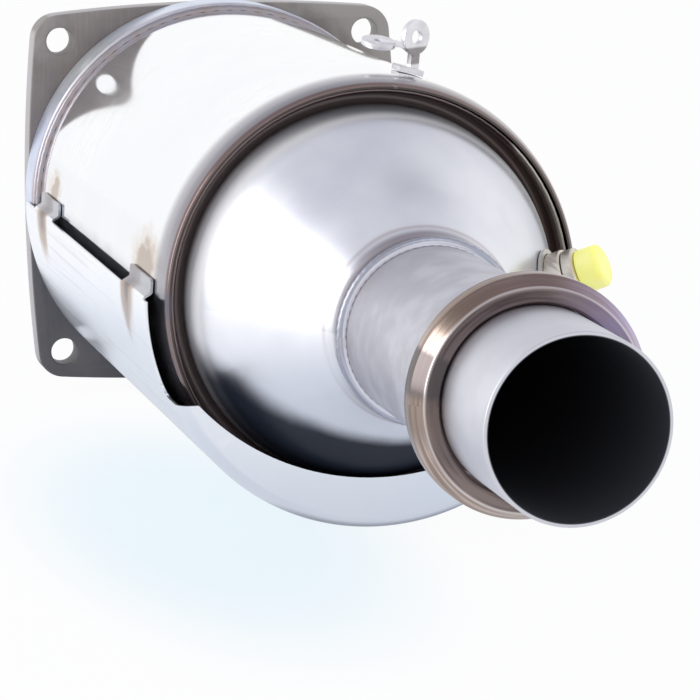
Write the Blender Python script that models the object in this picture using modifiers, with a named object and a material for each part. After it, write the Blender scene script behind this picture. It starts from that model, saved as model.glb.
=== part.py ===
"""Diesel particulate filter: a square inlet flange, a polished can over a cemented filter block,
a spun outlet cone with its pipe and joint collar, a capped sensor port and a belly heat shield.

Sizes are in metres. Every piece is drawn in the filter's own frame, which hangs on the empty
filter_axis: X to the right, Y up, and Z along the can's axis from the flange to the outlet. A
station is a distance along that axis from the flange's front face."""

import math

import bmesh
import bpy
from mathutils import Matrix, Vector

# Clearances
SEAT_GAP = 0.0003  # between pieces that touch
SHIELD_OVER_COLLAR = 0.0005  # the heat shield passes just outside the inlet collar

# Filter block: silicon carbide segments, cemented together and wrapped
CEMENT_JOINT = 0.0008
SEGMENTS_ACROSS = 4  # each 34 mm square, from the block's radius
BLOCK_LENGTH = 0.1778
SKIN_THICKNESS = 0.0015
MAT_THICKNESS = 0.0040
MAT_SETBACK = 0.0060  # each end of the mat stops short of the block's end
SEAL_LENGTH = 0.0054

# Can
CAN_RADIUS = 0.0780
CAN_WALL = 0.0015
INLET_SPACE = 0.0300  # flange face to filter block
OUTLET_SPACE = 0.0287  # filter block to the edge of the lip
LIP_LENGTH = 0.0135  # the can's outlet end rolls inward over this length
LIP_DROP = 0.0025

# Inlet flange and collar
FLANGE_THICKNESS = 0.0100
FLANGE_LEDGE = 0.0080  # the can's radius less the flange's bore
HOLE_CLEARANCE = 0.0112  # from the collar's rim to a bolt hole's centre
HOLE_DIAMETER = 0.0110
CORNER_RADIUS = 0.0109
SIDE_BULGE = 0.0031
FLANGE_CHAMFER = 0.0008
COLLAR_WALL = 0.0024
COLLAR_LENGTH = 0.0170
COLLAR_ROUND = 0.0012

# Outlet cone
CONE_SHEET = 0.0015
SKIRT_RECESS = 0.0035  # the cone's skirt ends this far inside the lip
SKIRT_LENGTH = 0.0060
GROOVE_BEND = 0.0030
SHOULDER_BEND = 0.0400
CONE_SLOPE = math.radians(32)
NECK_BEND = 0.0060
SLEEVE_LENGTH = 0.0052

# Outlet pipe and joint collar
PIPE_RADIUS = 0.0300
PIPE_WALL = 0.0015
PIPE_INSERT = 0.0100
PIPE_EXPOSED = 0.1512
RING_TO_TIP = 0.0404  # from the joint collar's front face to the pipe's end
RING_FACE_WIDTH = 0.0053  # the joint collar's front face, from the pipe outward
RING_FLARE = 0.0034  # its rim stands this far outside the face
RING_BEVEL = 0.0055
RING_RIM = 0.0052
RING_BACK_BEVEL = 0.0030
RING_MOUTH = 0.0009  # chamfer where the joint collar meets the pipe

# Weld beads
NECK_BEAD = 0.0032
COLLAR_BEAD = 0.0024
RIM_BEAD = 0.0016
RING_BEAD = 0.0026
BOSS_BEAD = 0.0014

# Sensor port on the cone, which leans upward from the sheet it stands on
PORT_ANGLE = math.radians(4)
PORT_ALONG = 0.0064  # down the cone from its shoulder
PORT_AIM = math.radians(27)
PORT_DRILL = 0.0040
THREAD_RADIUS = 0.0066
THREAD_START = 0.0045
BOSS_WALL = 0.0031
BOSS_HEIGHT = 0.0100
NUT_RADIUS = 0.0092
NUT_HEIGHT = 0.0042
STUB_RADIUS = 0.0058
STUB_HEIGHT = 0.0062
FITTING_BORE = 0.0018
CAP_WALL = 0.0017
CAP_END = 0.0022
CAP_ROUND = 0.0016

# Bracket on top of the can
BRACKET_ANGLE = math.radians(73.5)
BRACKET_SETBACK = 0.0285  # back from the lip
BRACKET_SHEET = 0.0020
BRACKET_LEAN = math.radians(5)
BRACKET_YAW = math.radians(28)
PAD_RIGHT = 0.0026
PAD_LEFT = 0.0065
PAD_LENGTH = 0.0100
LEG_WIDTH = 0.0042
EYE_HEIGHT = 0.0132
EYE_RADIUS = 0.0063
EYE_HOLE = 0.0026
ARM_DEPTH = 0.0050
ARM_START = 0.0070
ARM_RISE = 0.0034
ARM_REACH = 0.0136
TONGUE_RADIUS = 0.0062
TONGUE_HOLE = 0.0018
TONGUE_TILT = math.radians(12)

# Heat shield
SHIELD_SHEET = 0.0009
SHIELD_REAR = 0.0100
SHIELD_EDGE_RISE = 0.0010  # its two long edges lie this far above the axis
SIDE_SETBACK = 0.0055  # its sides stop this far behind the lip
APRON_REACH = 0.0135  # its folded front stands this far beyond the lip
APRON_BEND = 0.0040
APRON_DEPTH = 0.0190
APRON_EDGE_RADIUS = 0.0910
NOTCH_LEVEL = 0.0330
NOTCH_ROUND = 0.0050
REAR_FOOT = 0.0450
FRONT_FOOT_SETBACK = 0.0275
FOOT_LENGTH = 0.0340
FOOT_HEIGHT = 0.0045
FOOT_RAMP = 0.0025

# Facets
FINE_STEPS = 60
ROUND_STEPS = 44
SMALL_STEPS = 24
ARC_STEP = math.radians(30)
CORNER_STEP = math.radians(13)

# Worked-out places
COLLAR_BORE = CAN_RADIUS + SEAT_GAP
COLLAR_RADIUS = COLLAR_BORE + COLLAR_WALL
CAN_BORE = CAN_RADIUS - CAN_WALL
BLOCK_RADIUS = CAN_BORE - MAT_THICKNESS - 2 * SEAT_GAP
SEGMENT_RADIUS = BLOCK_RADIUS - SKIN_THICKNESS - SEAT_GAP
SEGMENT_SPACING = CEMENT_JOINT + 2 * SEAT_GAP
SEGMENT_PITCH = (2 * SEGMENT_RADIUS + SEGMENT_SPACING) / SEGMENTS_ACROSS
SEGMENT_SIDE = SEGMENT_PITCH - SEGMENT_SPACING
BLOCK_END = INLET_SPACE + BLOCK_LENGTH
LIP = BLOCK_END + OUTLET_SPACE
SHIELD_BORE = COLLAR_RADIUS + SHIELD_OVER_COLLAR
SHIELD_RADIUS = SHIELD_BORE + SHIELD_SHEET
LIP_BORE = CAN_BORE - LIP_DROP
SKIRT_RADIUS = LIP_BORE - SEAT_GAP
SKIRT_FRONT = LIP - SKIRT_RECESS
SLEEVE_BORE = PIPE_RADIUS + SEAT_GAP
RING_FACE_RADIUS = SLEEVE_BORE + RING_FACE_WIDTH
RING_RADIUS = RING_FACE_RADIUS + RING_FLARE
BOSS_BORE = THREAD_RADIUS + SEAT_GAP
BOSS_RADIUS = BOSS_BORE + BOSS_WALL
CAP_BORE = STUB_RADIUS + SEAT_GAP
CAP_RADIUS = CAP_BORE + CAP_WALL

# The cone's sheet follows this line: shoulder start, shoulder end and neck
SHOULDER_START = SKIRT_FRONT - SKIRT_LENGTH
SHOULDER_RADIUS = SKIRT_RADIUS - CONE_SHEET / 2 - 2 * GROOVE_BEND
SHOULDER_END = SHOULDER_START + SHOULDER_BEND * math.sin(CONE_SLOPE)
SLOPE_RADIUS = SHOULDER_RADIUS - SHOULDER_BEND * (1 - math.cos(CONE_SLOPE))
SLEEVE_MIDDLE = SLEEVE_BORE + CONE_SHEET / 2
NECK = SHOULDER_END + (SLOPE_RADIUS - SLEEVE_MIDDLE) / math.tan(CONE_SLOPE)
SLEEVE_END = NECK + SLEEVE_LENGTH
TIP = SLEEVE_END + PIPE_EXPOSED
RING_FACE = TIP - RING_TO_TIP
APRON = LIP + APRON_REACH

OBJECT_LENGTH = FLANGE_THICKNESS + TIP
AXIS_HEIGHT = SHIELD_RADIUS
MIDDLE = TIP - OBJECT_LENGTH / 2

# Name: base colour, metallic, roughness
FINISHES = {
    "flange_steel": ((0.34, 0.31, 0.30), 0.8, 0.45),
    "polished_steel": ((0.80, 0.80, 0.82), 1.0, 0.10),
    "satin_steel": ((0.72, 0.72, 0.75), 1.0, 0.28),
    "tinted_steel": ((0.48, 0.40, 0.36), 1.0, 0.35),
    "shield_steel": ((0.78, 0.79, 0.82), 1.0, 0.24),
    "weld_metal": ((0.45, 0.42, 0.42), 1.0, 0.40),
    "plated_steel": ((0.66, 0.62, 0.52), 1.0, 0.35),
    "yellow_plastic": ((0.92, 0.88, 0.16), 0.0, 0.45),
    "filter_ceramic": ((0.16, 0.16, 0.17), 0.0, 0.85),
    "cement": ((0.45, 0.44, 0.42), 0.0, 0.90),
    "mat_fibre": ((0.86, 0.84, 0.78), 0.0, 0.95),
    "wire_mesh": ((0.50, 0.50, 0.50), 1.0, 0.50),
}


def clear_scene():
    for thing in list(bpy.data.objects):
        bpy.data.objects.remove(thing, do_unlink=True)


def new_collection(name, hidden=False):
    made = bpy.data.collections.new(name)
    bpy.context.scene.collection.children.link(made)
    made.hide_render = hidden
    return made


def material(name):
    if name in bpy.data.materials:
        return bpy.data.materials[name]
    colour, metallic, roughness = FINISHES[name]
    made = bpy.data.materials.new(name)
    made.use_nodes = True
    shader = made.node_tree.nodes["Principled BSDF"]
    shader.inputs["Base Color"].default_value = (*colour, 1.0)
    shader.inputs["Metallic"].default_value = metallic
    shader.inputs["Roughness"].default_value = roughness
    made.diffuse_color = (*colour, 1.0)
    return made


def smooth(mesh, angle=math.radians(32)):
    mesh.shade_smooth()
    mesh.set_sharp_from_angle(angle=angle)


def add_piece(name, mesh, finish, matrix=None):
    """A visible piece in the filter's frame."""
    made = bpy.data.objects.new(name, mesh)
    PIECES.objects.link(made)
    made.parent = AXIS
    if matrix is not None:
        made.matrix_local = matrix
    mesh.materials.clear()
    mesh.materials.append(material(finish))
    return made


def add_cutter(name, mesh, matrix=None):
    made = bpy.data.objects.new(name, mesh)
    CUTTERS.objects.link(made)
    made.parent = AXIS
    if matrix is not None:
        made.matrix_local = matrix
    made.hide_render = True
    made.display_type = "WIRE"
    return made


def mesh_from(shape, name):
    mesh = bpy.data.meshes.new(name)
    shape.to_mesh(mesh)
    shape.free()
    return mesh


def boolean(piece, other, operation="DIFFERENCE"):
    cut = piece.modifiers.new(other.name, "BOOLEAN")
    cut.object = other
    cut.operation = operation
    cut.solver = "EXACT"
    return cut


def arc(centre, radius, start, end, step=ARC_STEP):
    """Points (station, radius) round a centre, from one angle to another."""
    count = max(2, math.ceil(abs(end - start) / step))
    turns = [start + (end - start) * i / count for i in range(count + 1)]
    return [(centre[0] + radius * math.cos(a), centre[1] + radius * math.sin(a)) for a in turns]


def rounded(corners):
    """A closed outline from corners (station, radius, rounding), with arcs at the rounded ones."""
    points = []
    for index, (x, y, rounding) in enumerate(corners):
        here = Vector((x, y))
        if rounding <= 0:
            points.append((x, y))
            continue
        before = (Vector(corners[index - 1][:2]) - here).normalized()
        after = (Vector(corners[(index + 1) % len(corners)][:2]) - here).normalized()
        half = before.angle(after) / 2
        reach = rounding / math.tan(half)
        centre = here + (before + after).normalized() * (rounding / math.sin(half))
        first = here + before * reach - centre
        last = here + after * reach - centre
        start = math.atan2(first.y, first.x)
        swing = math.atan2(first.x * last.y - first.y * last.x, first.dot(last))
        points += arc(centre, rounding, start, start + swing)
    return points


def sheet_outline(line, thickness):
    """A closed outline round an open line of points, half the thickness to each side."""
    sides = ([], [])
    for index, point in enumerate(line):
        here = Vector(point)
        ahead = Vector(line[min(index + 1, len(line) - 1)])
        behind = Vector(line[max(index - 1, 0)])
        into = (here - behind).normalized() if index else (ahead - here).normalized()
        out = (ahead - here).normalized() if index < len(line) - 1 else into
        along = (into + out).normalized()
        across = Vector((-along.y, along.x)) / max(0.5, along.dot(into))
        for side, sign in zip(sides, (1, -1)):
            side.append(tuple(here + across * (sign * thickness / 2)))
    return sides[0] + sides[1][::-1]


def signed_area(points):
    ring = points[1:] + points[:1]
    return sum(a[0] * b[1] - b[0] * a[1] for a, b in zip(points, ring)) / 2


def turned_mesh(name, outline):
    """A closed outline (station, radius) as edges at +X, running down its outer side."""
    if signed_area(outline) < 0:
        outline = outline[::-1]
    shape = bmesh.new()
    verts = [shape.verts.new((radius, 0, station)) for station, radius in outline]
    for first, second in zip(verts, verts[1:] + verts[:1]):
        shape.edges.new((first, second))
    return mesh_from(shape, name)


def add_screw(piece, steps):
    screw = piece.modifiers.new("Turn", "SCREW")
    screw.axis = "Z"
    screw.angle = 2 * math.pi
    screw.screw_offset = 0
    screw.steps = steps
    screw.render_steps = steps
    screw.use_merge_vertices = True
    screw.merge_threshold = 0.00001
    screw.use_smooth_shade = True
    return screw


def turned(name, outline, finish, steps=FINE_STEPS, matrix=None):
    piece = add_piece(name, turned_mesh(name, outline), finish, matrix)
    add_screw(piece, steps)
    return piece


def tube_outline(bore, radius, start, end):
    return [(start, bore), (start, radius), (end, radius), (end, bore)]


def cylinder_mesh(name, radius, start, end, steps=FINE_STEPS, centre=(0, 0)):
    shape = bmesh.new()
    middle = Matrix.Translation((*centre, (start + end) / 2))
    bmesh.ops.create_cone(
        shape,
        cap_ends=True,
        segments=steps,
        radius1=radius,
        radius2=radius,
        depth=end - start,
        matrix=middle,
    )
    return mesh_from(shape, name)


def box_mesh(name, low, high):
    shape = bmesh.new()
    size = Vector(high) - Vector(low)
    place = Matrix.Translation((Vector(high) + Vector(low)) / 2)
    bmesh.ops.create_cube(shape, size=1.0, matrix=place @ Matrix.Diagonal((*size, 1)))
    return mesh_from(shape, name)


# Inlet end


def hole_places():
    """The four bolt holes' centres, on the corners of a square."""
    offset = (COLLAR_RADIUS + HOLE_CLEARANCE) / math.sqrt(2)
    return [(offset * x, offset * y) for x, y in ((1, 1), (-1, 1), (-1, -1), (1, -1))]


def flange_outline():
    """A square with round corners about the bolt holes and gently bulging sides, tangent to them."""
    offset = hole_places()[0][0]
    middle = offset + CORNER_RADIUS + SIDE_BULGE
    side = (offset**2 + (middle - offset) ** 2 - CORNER_RADIUS**2) / (2 * SIDE_BULGE)
    lean = math.atan2(offset, offset - middle + side)
    quarter = math.pi / 2
    points = []
    for turn in range(4):
        across = arc((0, middle - side), side, quarter + lean, quarter - lean, lean / 3)
        corner = arc((offset, offset), CORNER_RADIUS, quarter - lean, lean, CORNER_STEP)
        spin = Matrix.Rotation(-turn * quarter, 2)
        points += [tuple(spin @ Vector(p)) for p in across[:-1] + corner[:-1]]
    return points


def circle(radius, steps, centre=(0, 0)):
    return [
        (centre[0] + radius * math.cos(a), centre[1] + radius * math.sin(a))
        for a in (2 * math.pi * i / steps for i in range(steps))
    ]


def plate_mesh(name, outlines, thickness, chamfer=0.0):
    """A flat plate from 2D outlines, the first its rim and the rest its holes, centred on its middle."""
    curve = bpy.data.curves.new(name, "CURVE")
    curve.dimensions = "2D"
    curve.fill_mode = "BOTH"
    curve.extrude = thickness / 2 - chamfer
    curve.bevel_depth = chamfer
    curve.bevel_resolution = 0
    curve.offset = -chamfer
    for outline in outlines:
        spline = curve.splines.new("POLY")
        spline.points.add(len(outline) - 1)
        for point, place in zip(spline.points, outline):
            point.co = (*place, 0, 1)
        spline.use_cyclic_u = True
    guide = bpy.data.objects.new(name + "_curve", curve)
    bpy.context.scene.collection.objects.link(guide)
    graph = bpy.context.evaluated_depsgraph_get()
    mesh = bpy.data.meshes.new_from_object(guide.evaluated_get(graph))
    mesh.name = name
    bpy.data.objects.remove(guide, do_unlink=True)
    bpy.data.curves.remove(curve)
    shape = bmesh.new()
    shape.from_mesh(mesh)
    bmesh.ops.remove_doubles(shape, verts=shape.verts, dist=0.00001)
    bmesh.ops.recalc_face_normals(shape, faces=shape.faces)
    shape.to_mesh(mesh)
    shape.free()
    return mesh


def build_flange():
    holes = [circle(HOLE_DIAMETER / 2, SMALL_STEPS, place) for place in hole_places()]
    bore = circle(CAN_RADIUS - FLANGE_LEDGE, FINE_STEPS)
    mesh = plate_mesh("inlet_flange", [flange_outline(), bore, *holes], FLANGE_THICKNESS, FLANGE_CHAMFER)
    place = Matrix.Translation((0, 0, -FLANGE_THICKNESS / 2))
    add_piece("inlet_flange", mesh, "flange_steel", place)
    smooth(mesh)


def build_inlet_collar():
    front = COLLAR_LENGTH
    outline = rounded(
        [
            (SEAT_GAP, COLLAR_BORE, 0),
            (SEAT_GAP, COLLAR_RADIUS, 0),
            (front, COLLAR_RADIUS, COLLAR_ROUND),
            (front, COLLAR_BORE, 0),
        ]
    )
    turned("inlet_collar", outline, "polished_steel")


def bead(name, seat, foot, height, finish="weld_metal", steps=FINE_STEPS, matrix=None):
    """A weld bead in a corner: a flat seat radius, then a rounded crown over its foot."""
    start, end = foot
    middle = (start + end) / 2
    half = abs(end - start) / 2
    crown = [
        (middle - half * math.cos(math.pi * i / 3), seat + height * math.sin(math.pi * i / 3))
        for i in range(4)
    ]
    turned(name, crown, finish, steps, matrix)


def build_inlet_weld():
    start = COLLAR_LENGTH + SEAT_GAP
    bead("inlet_weld", CAN_RADIUS + SEAT_GAP, (start, start + COLLAR_BEAD), COLLAR_WALL * 0.7)


# Can and filter block


def build_can():
    """The can, its outlet end rolled gently inward to a lip."""
    roll = (LIP_LENGTH**2 + LIP_DROP**2) / (2 * LIP_DROP)
    swing = math.asin(LIP_LENGTH / roll)
    start = LIP - LIP_LENGTH

    def rolled(radius):
        return [
            (start + roll * math.sin(a), radius - roll * (1 - math.cos(a)))
            for a in (swing * i / 3 for i in range(4))
        ]

    outer = [(SEAT_GAP, CAN_RADIUS), *rolled(CAN_RADIUS)]
    inner = [(SEAT_GAP, CAN_BORE), *rolled(CAN_BORE)]
    turned("can_shell", outer + inner[::-1], "polished_steel")


def ring(name, bore, radius, start, end, finish):
    turned(name, tube_outline(bore, radius, start, end), finish, ROUND_STEPS)


def build_wrapping():
    """The fibre mat round the block, with a knitted wire seal at each of its ends."""
    bore = BLOCK_RADIUS + SEAT_GAP
    radius = CAN_BORE - SEAT_GAP
    start = INLET_SPACE + MAT_SETBACK
    end = BLOCK_END - MAT_SETBACK
    ring("support_mat", bore, radius, start, end, "mat_fibre")
    ring("inlet_seal", bore, radius, start - SEAT_GAP - SEAL_LENGTH, start - SEAT_GAP, "wire_mesh")
    ring("outlet_seal", bore, radius, end + SEAT_GAP, end + SEAT_GAP + SEAL_LENGTH, "wire_mesh")


def segment_places():
    """Row, column and centre of each segment of the block."""
    first = -SEGMENT_PITCH * (SEGMENTS_ACROSS - 1) / 2
    for row in range(SEGMENTS_ACROSS):
        for column in range(SEGMENTS_ACROSS):
            yield row + 1, column + 1, (first + column * SEGMENT_PITCH, first + row * SEGMENT_PITCH)


def segment_box(name, centre, side, start, end):
    low = (centre[0] - side / 2, centre[1] - side / 2, start)
    high = (centre[0] + side / 2, centre[1] + side / 2, end)
    return box_mesh(name, low, high)


def build_block():
    """Square segments ground to a round block, and the cement that fills their joints and skins them."""
    overrun = CAN_WALL
    start, end = INLET_SPACE, BLOCK_END
    round_cutter = add_cutter(
        "block_round", cylinder_mesh("block_round", SEGMENT_RADIUS, start - overrun, end + overrun)
    )
    pocket_round = add_cutter(
        "pocket_round",
        cylinder_mesh("pocket_round", SEGMENT_RADIUS + SEAT_GAP, start - 3 * overrun, end + 3 * overrun),
    )
    pockets = bmesh.new()
    for row, column, centre in segment_places():
        name = f"filter_segment_{row}{column}"
        piece = add_piece(name, segment_box(name, centre, SEGMENT_SIDE, start, end), "filter_ceramic")
        boolean(piece, round_cutter, "INTERSECT")
        side = SEGMENT_SIDE + 2 * SEAT_GAP
        pocket = segment_box("pocket", centre, side, start - 2 * overrun, end + 2 * overrun)
        pockets.from_mesh(pocket)
        bpy.data.meshes.remove(pocket)
    pocket_cutter = add_cutter("pockets", mesh_from(pockets, "pockets"))
    boolean(pocket_cutter, pocket_round, "INTERSECT")
    cement = cylinder_mesh("segment_cement", BLOCK_RADIUS, start, end)
    smooth(cement)
    boolean(add_piece("segment_cement", cement, "cement"), pocket_cutter)


# Outlet end


def cone_line():
    """The middle of the cone's sheet, from the skirt's edge round the groove and dish to the sleeve."""
    half = math.pi / 2
    skirt = SKIRT_RADIUS - CONE_SHEET / 2
    groove = (SHOULDER_START, skirt - GROOVE_BEND)
    shoulder = (SHOULDER_START, SHOULDER_RADIUS - SHOULDER_BEND)
    neck_turn = NECK_BEND * math.tan(CONE_SLOPE / 2)
    neck = (NECK + neck_turn, SLEEVE_MIDDLE + NECK_BEND)
    return [
        (SKIRT_FRONT, skirt),
        *arc(groove, GROOVE_BEND, half, 3 * half),
        *arc(shoulder, SHOULDER_BEND, half, half - CONE_SLOPE)[1:],
        *arc(neck, NECK_BEND, -half - CONE_SLOPE, -half),
        (SLEEVE_END, SLEEVE_MIDDLE),
    ]


def port_frame():
    """The sensor port's own frame: from its foot on the cone's right side, its Z leads outward."""
    radius = SLOPE_RADIUS - PORT_ALONG * math.sin(CONE_SLOPE)
    station = SHOULDER_END + PORT_ALONG * math.cos(CONE_SLOPE)
    lift = (CONE_SHEET / 2) / math.cos(CONE_SLOPE)
    outward = Vector((math.cos(PORT_ANGLE), math.sin(PORT_ANGLE), 0))
    foot = outward * (radius + lift) + Vector((0, 0, station))
    across = Vector((math.cos(PORT_AIM), math.sin(PORT_AIM), 0))
    aim = across * math.cos(CONE_SLOPE) + Vector((0, 0, math.sin(CONE_SLOPE)))
    return Matrix.Translation(foot) @ aim.to_track_quat("Z", "Y").to_matrix().to_4x4()


def slope_cutter(name, above):
    """A solid cone that lies this far above the outer face of the cone's straight part."""
    reach = 2 * BOSS_RADIUS
    near = SLOPE_RADIUS + (CONE_SHEET / 2 + above) / math.cos(CONE_SLOPE)
    far = reach + (NECK - SHOULDER_END)
    shape = bmesh.new()
    bmesh.ops.create_cone(
        shape,
        cap_ends=True,
        segments=FINE_STEPS,
        radius1=near + reach * math.tan(CONE_SLOPE),
        radius2=near - (far - reach) * math.tan(CONE_SLOPE),
        depth=far,
        matrix=Matrix.Translation((0, 0, SHOULDER_END - reach + far / 2)),
    )
    return add_cutter(name, mesh_from(shape, name))


def build_cone():
    cone = turned("outlet_cone", sheet_outline(cone_line(), CONE_SHEET), "satin_steel")
    reach = 4 * CONE_SHEET
    drill = cylinder_mesh("port_drill", PORT_DRILL, -reach, reach, SMALL_STEPS)
    boolean(cone, add_cutter("port_drill", drill, port_frame()))


def build_rim_weld():
    """The bead that joins the skirt's edge to the inside of the lip."""
    start = SKIRT_FRONT + SEAT_GAP
    outer = LIP_BORE - SEAT_GAP
    inner = SKIRT_RADIUS - CONE_SHEET
    outline = [
        (start, inner),
        (start, outer),
        (start + RIM_BEAD, outer),
        (start + RIM_BEAD * 0.8, (inner + outer) / 2),
    ]
    turned("rim_weld", outline, "weld_metal")


def build_pipe():
    start = SLEEVE_END - PIPE_INSERT
    bore = PIPE_RADIUS - PIPE_WALL
    ring("outlet_pipe", bore, PIPE_RADIUS, start, TIP, "satin_steel")
    foot = SLEEVE_END + SEAT_GAP
    height = CONE_SHEET + SEAT_GAP + CONE_SHEET / 2
    bead("neck_weld", SLEEVE_BORE, (foot, foot + NECK_BEAD), height, steps=ROUND_STEPS)


def build_joint_collar():
    """The coned collar round the pipe: a straight rim, a long bevel and a flat front face."""
    bore = PIPE_RADIUS + SEAT_GAP
    rim_front = RING_FACE - RING_BEVEL
    rim_back = rim_front - RING_RIM
    back = rim_back - RING_BACK_BEVEL
    outline = [
        (back, bore),
        (back, RING_FACE_RADIUS),
        (rim_back, RING_RADIUS),
        (rim_front, RING_RADIUS),
        (RING_FACE, RING_FACE_RADIUS),
        (RING_FACE, bore + RING_MOUTH),
        (RING_FACE - RING_MOUTH, bore),
    ]
    turned("joint_collar", outline, "tinted_steel", ROUND_STEPS)
    end = back - SEAT_GAP
    bead("collar_weld", bore, (end - RING_BEAD, end), RING_BEAD, steps=ROUND_STEPS)


# Sensor port


def build_port():
    """A boss that leans on the cone, its weld, the screwed fitting and the plastic cap over it."""
    frame = port_frame()
    sink = BOSS_RADIUS
    seat = slope_cutter("boss_seat", SEAT_GAP)
    boss = tube_outline(BOSS_BORE, BOSS_RADIUS, -sink, BOSS_HEIGHT)
    boolean(turned("sensor_boss", boss, "plated_steel", SMALL_STEPS, frame), seat)
    inner = BOSS_RADIUS + SEAT_GAP
    ring_outline = tube_outline(inner, inner + BOSS_BEAD, -sink, BOSS_HEIGHT)
    weld = turned("boss_weld", ring_outline, "weld_metal", SMALL_STEPS, frame)
    boolean(weld, slope_cutter("boss_weld_top", SEAT_GAP + BOSS_BEAD), "INTERSECT")
    boolean(weld, seat)
    low = BOSS_HEIGHT + SEAT_GAP
    high = low + NUT_HEIGHT
    top = high + STUB_HEIGHT
    fitting = [
        (THREAD_START, FITTING_BORE),
        (THREAD_START, THREAD_RADIUS),
        (low, THREAD_RADIUS),
        (low, NUT_RADIUS),
        (high, NUT_RADIUS),
        (high, STUB_RADIUS),
        (top, STUB_RADIUS),
        (top, FITTING_BORE),
    ]
    turned("sensor_fitting", fitting, "plated_steel", SMALL_STEPS, frame)
    edge = high + SEAT_GAP
    roof = top + SEAT_GAP
    end = roof + CAP_END
    outer = rounded([(edge, CAP_RADIUS, 0), (end, CAP_RADIUS, CAP_ROUND), (end, 0, 0)])
    outline = [*outer, (roof, 0), (roof, CAP_BORE), (edge, CAP_BORE)]
    turned("protective_cap", outline, "yellow_plastic", SMALL_STEPS, frame)


# Bracket


def wrapped_strip(name, line, start, end, thickness):
    """A strip of sheet that follows a line of (radius, angle) points across the axis."""
    shape = bmesh.new()
    verts = [shape.verts.new((r * math.cos(a), r * math.sin(a), start)) for r, a in line]
    edges = [shape.edges.new(pair) for pair in zip(verts, verts[1:])]
    made = bmesh.ops.extrude_edge_only(shape, edges=edges)
    moved = [item for item in made["geom"] if isinstance(item, bmesh.types.BMVert)]
    bmesh.ops.translate(shape, verts=moved, vec=(0, 0, end - start))
    bmesh.ops.recalc_face_normals(shape, faces=shape.faces)
    bmesh.ops.solidify(shape, geom=shape.faces, thickness=thickness)
    middle_shift(shape, thickness)
    bmesh.ops.recalc_face_normals(shape, faces=shape.faces)
    return mesh_from(shape, name)


def middle_shift(shape, thickness):
    """Puts a solidified strip's middle on its line, measured from the axis."""
    radii = [vert.co.xy.length for vert in shape.verts]
    half = len(radii) // 2
    inner, outer = sum(radii[:half]), sum(radii[half:])
    sign = 1 if inner > outer else -1
    for vert in shape.verts:
        outward = Vector((vert.co.x, vert.co.y, 0)).normalized()
        vert.co += outward * (sign * thickness / 2)


def bracket_frame():
    """X to the right, Y up the leg and Z to the front, on the can under the bracket's leg."""
    radius = CAN_RADIUS + SEAT_GAP
    foot = (radius * math.cos(BRACKET_ANGLE), radius * math.sin(BRACKET_ANGLE), LIP - BRACKET_SETBACK)
    return Matrix.Translation(foot) @ Matrix.Rotation(-BRACKET_LEAN, 4, "Z")


def eye_outline():
    """The leg and the round eye above it, as one flat outline."""
    half = LEG_WIDTH / 2
    low = BRACKET_SHEET * 0.4
    meet = math.asin(half / EYE_RADIUS)
    start, end = -math.pi / 2 + meet, 3 * math.pi / 2 - meet
    count = SMALL_STEPS
    turns = [start + (end - start) * i / count for i in range(count + 1)]
    eye = [(EYE_RADIUS * math.cos(a), EYE_HEIGHT + EYE_RADIUS * math.sin(a)) for a in turns]
    return [(-half, low), (half, low), *eye]


def arm_outline():
    """The arm that leaves the leg's left side, rises and levels out over to the tongue."""
    rise = [(i / 4, math.sin(math.pi / 2 * i / 4)) for i in range(5)]
    bend = ARM_REACH / 2
    line = [(-bend * t, ARM_START + ARM_RISE * lift) for t, lift in rise]
    line.append((-ARM_REACH, ARM_START + ARM_RISE))
    return sheet_outline(line, BRACKET_SHEET)


def build_bracket():
    """One bent sheet: a foot on the can, a leg with an eye, and an arm with a round tongue."""
    frame = bracket_frame()
    middle = CAN_RADIUS + SEAT_GAP + BRACKET_SHEET / 2
    first = BRACKET_ANGLE - PAD_RIGHT / middle
    spread = (PAD_RIGHT + PAD_LEFT) / middle
    turns = [first + spread * i / 5 for i in range(6)]
    station = LIP - BRACKET_SETBACK
    pad = wrapped_strip(
        "bracket",
        [(middle, a) for a in turns],
        station - PAD_LENGTH / 2,
        station + PAD_LENGTH / 2,
        BRACKET_SHEET,
    )
    piece = add_piece("bracket", pad, "satin_steel")
    yaw = frame @ Matrix.Rotation(BRACKET_YAW, 4, "Y")
    eye_hole = circle(EYE_HOLE, SMALL_STEPS, (0, EYE_HEIGHT))
    eye = plate_mesh("bracket_eye", [eye_outline(), eye_hole], BRACKET_SHEET)
    boolean(piece, add_cutter("bracket_eye", eye, yaw), "UNION")
    arm = plate_mesh("bracket_arm", [arm_outline()], ARM_DEPTH)
    boolean(piece, add_cutter("bracket_arm", arm, frame), "UNION")
    tongue = plate_mesh(
        "bracket_tongue",
        [circle(TONGUE_RADIUS, SMALL_STEPS), circle(TONGUE_HOLE, SMALL_STEPS // 2)],
        BRACKET_SHEET * 0.9,
    )
    level = (-ARM_REACH, ARM_START + ARM_RISE, 0)
    lie = Matrix.Rotation(-math.pi / 2 + TONGUE_TILT, 4, "X")
    boolean(piece, add_cutter("bracket_tongue", tongue, frame @ Matrix.Translation(level) @ lie), "UNION")


# Heat shield


def shield_line():
    """The sheet's middle in section: straight along the belly, then folded inward to the apron."""
    middle = SHIELD_BORE + SHIELD_SHEET / 2
    front = APRON - SHIELD_SHEET / 2
    bend = APRON_BEND
    fold = arc((front - bend, middle - bend), bend, math.pi / 2, 0)
    inner = SHIELD_RADIUS - APRON_DEPTH - 4 * APRON_BEND
    return [(SHIELD_REAR, middle), *fold, (front, inner)]


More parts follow.
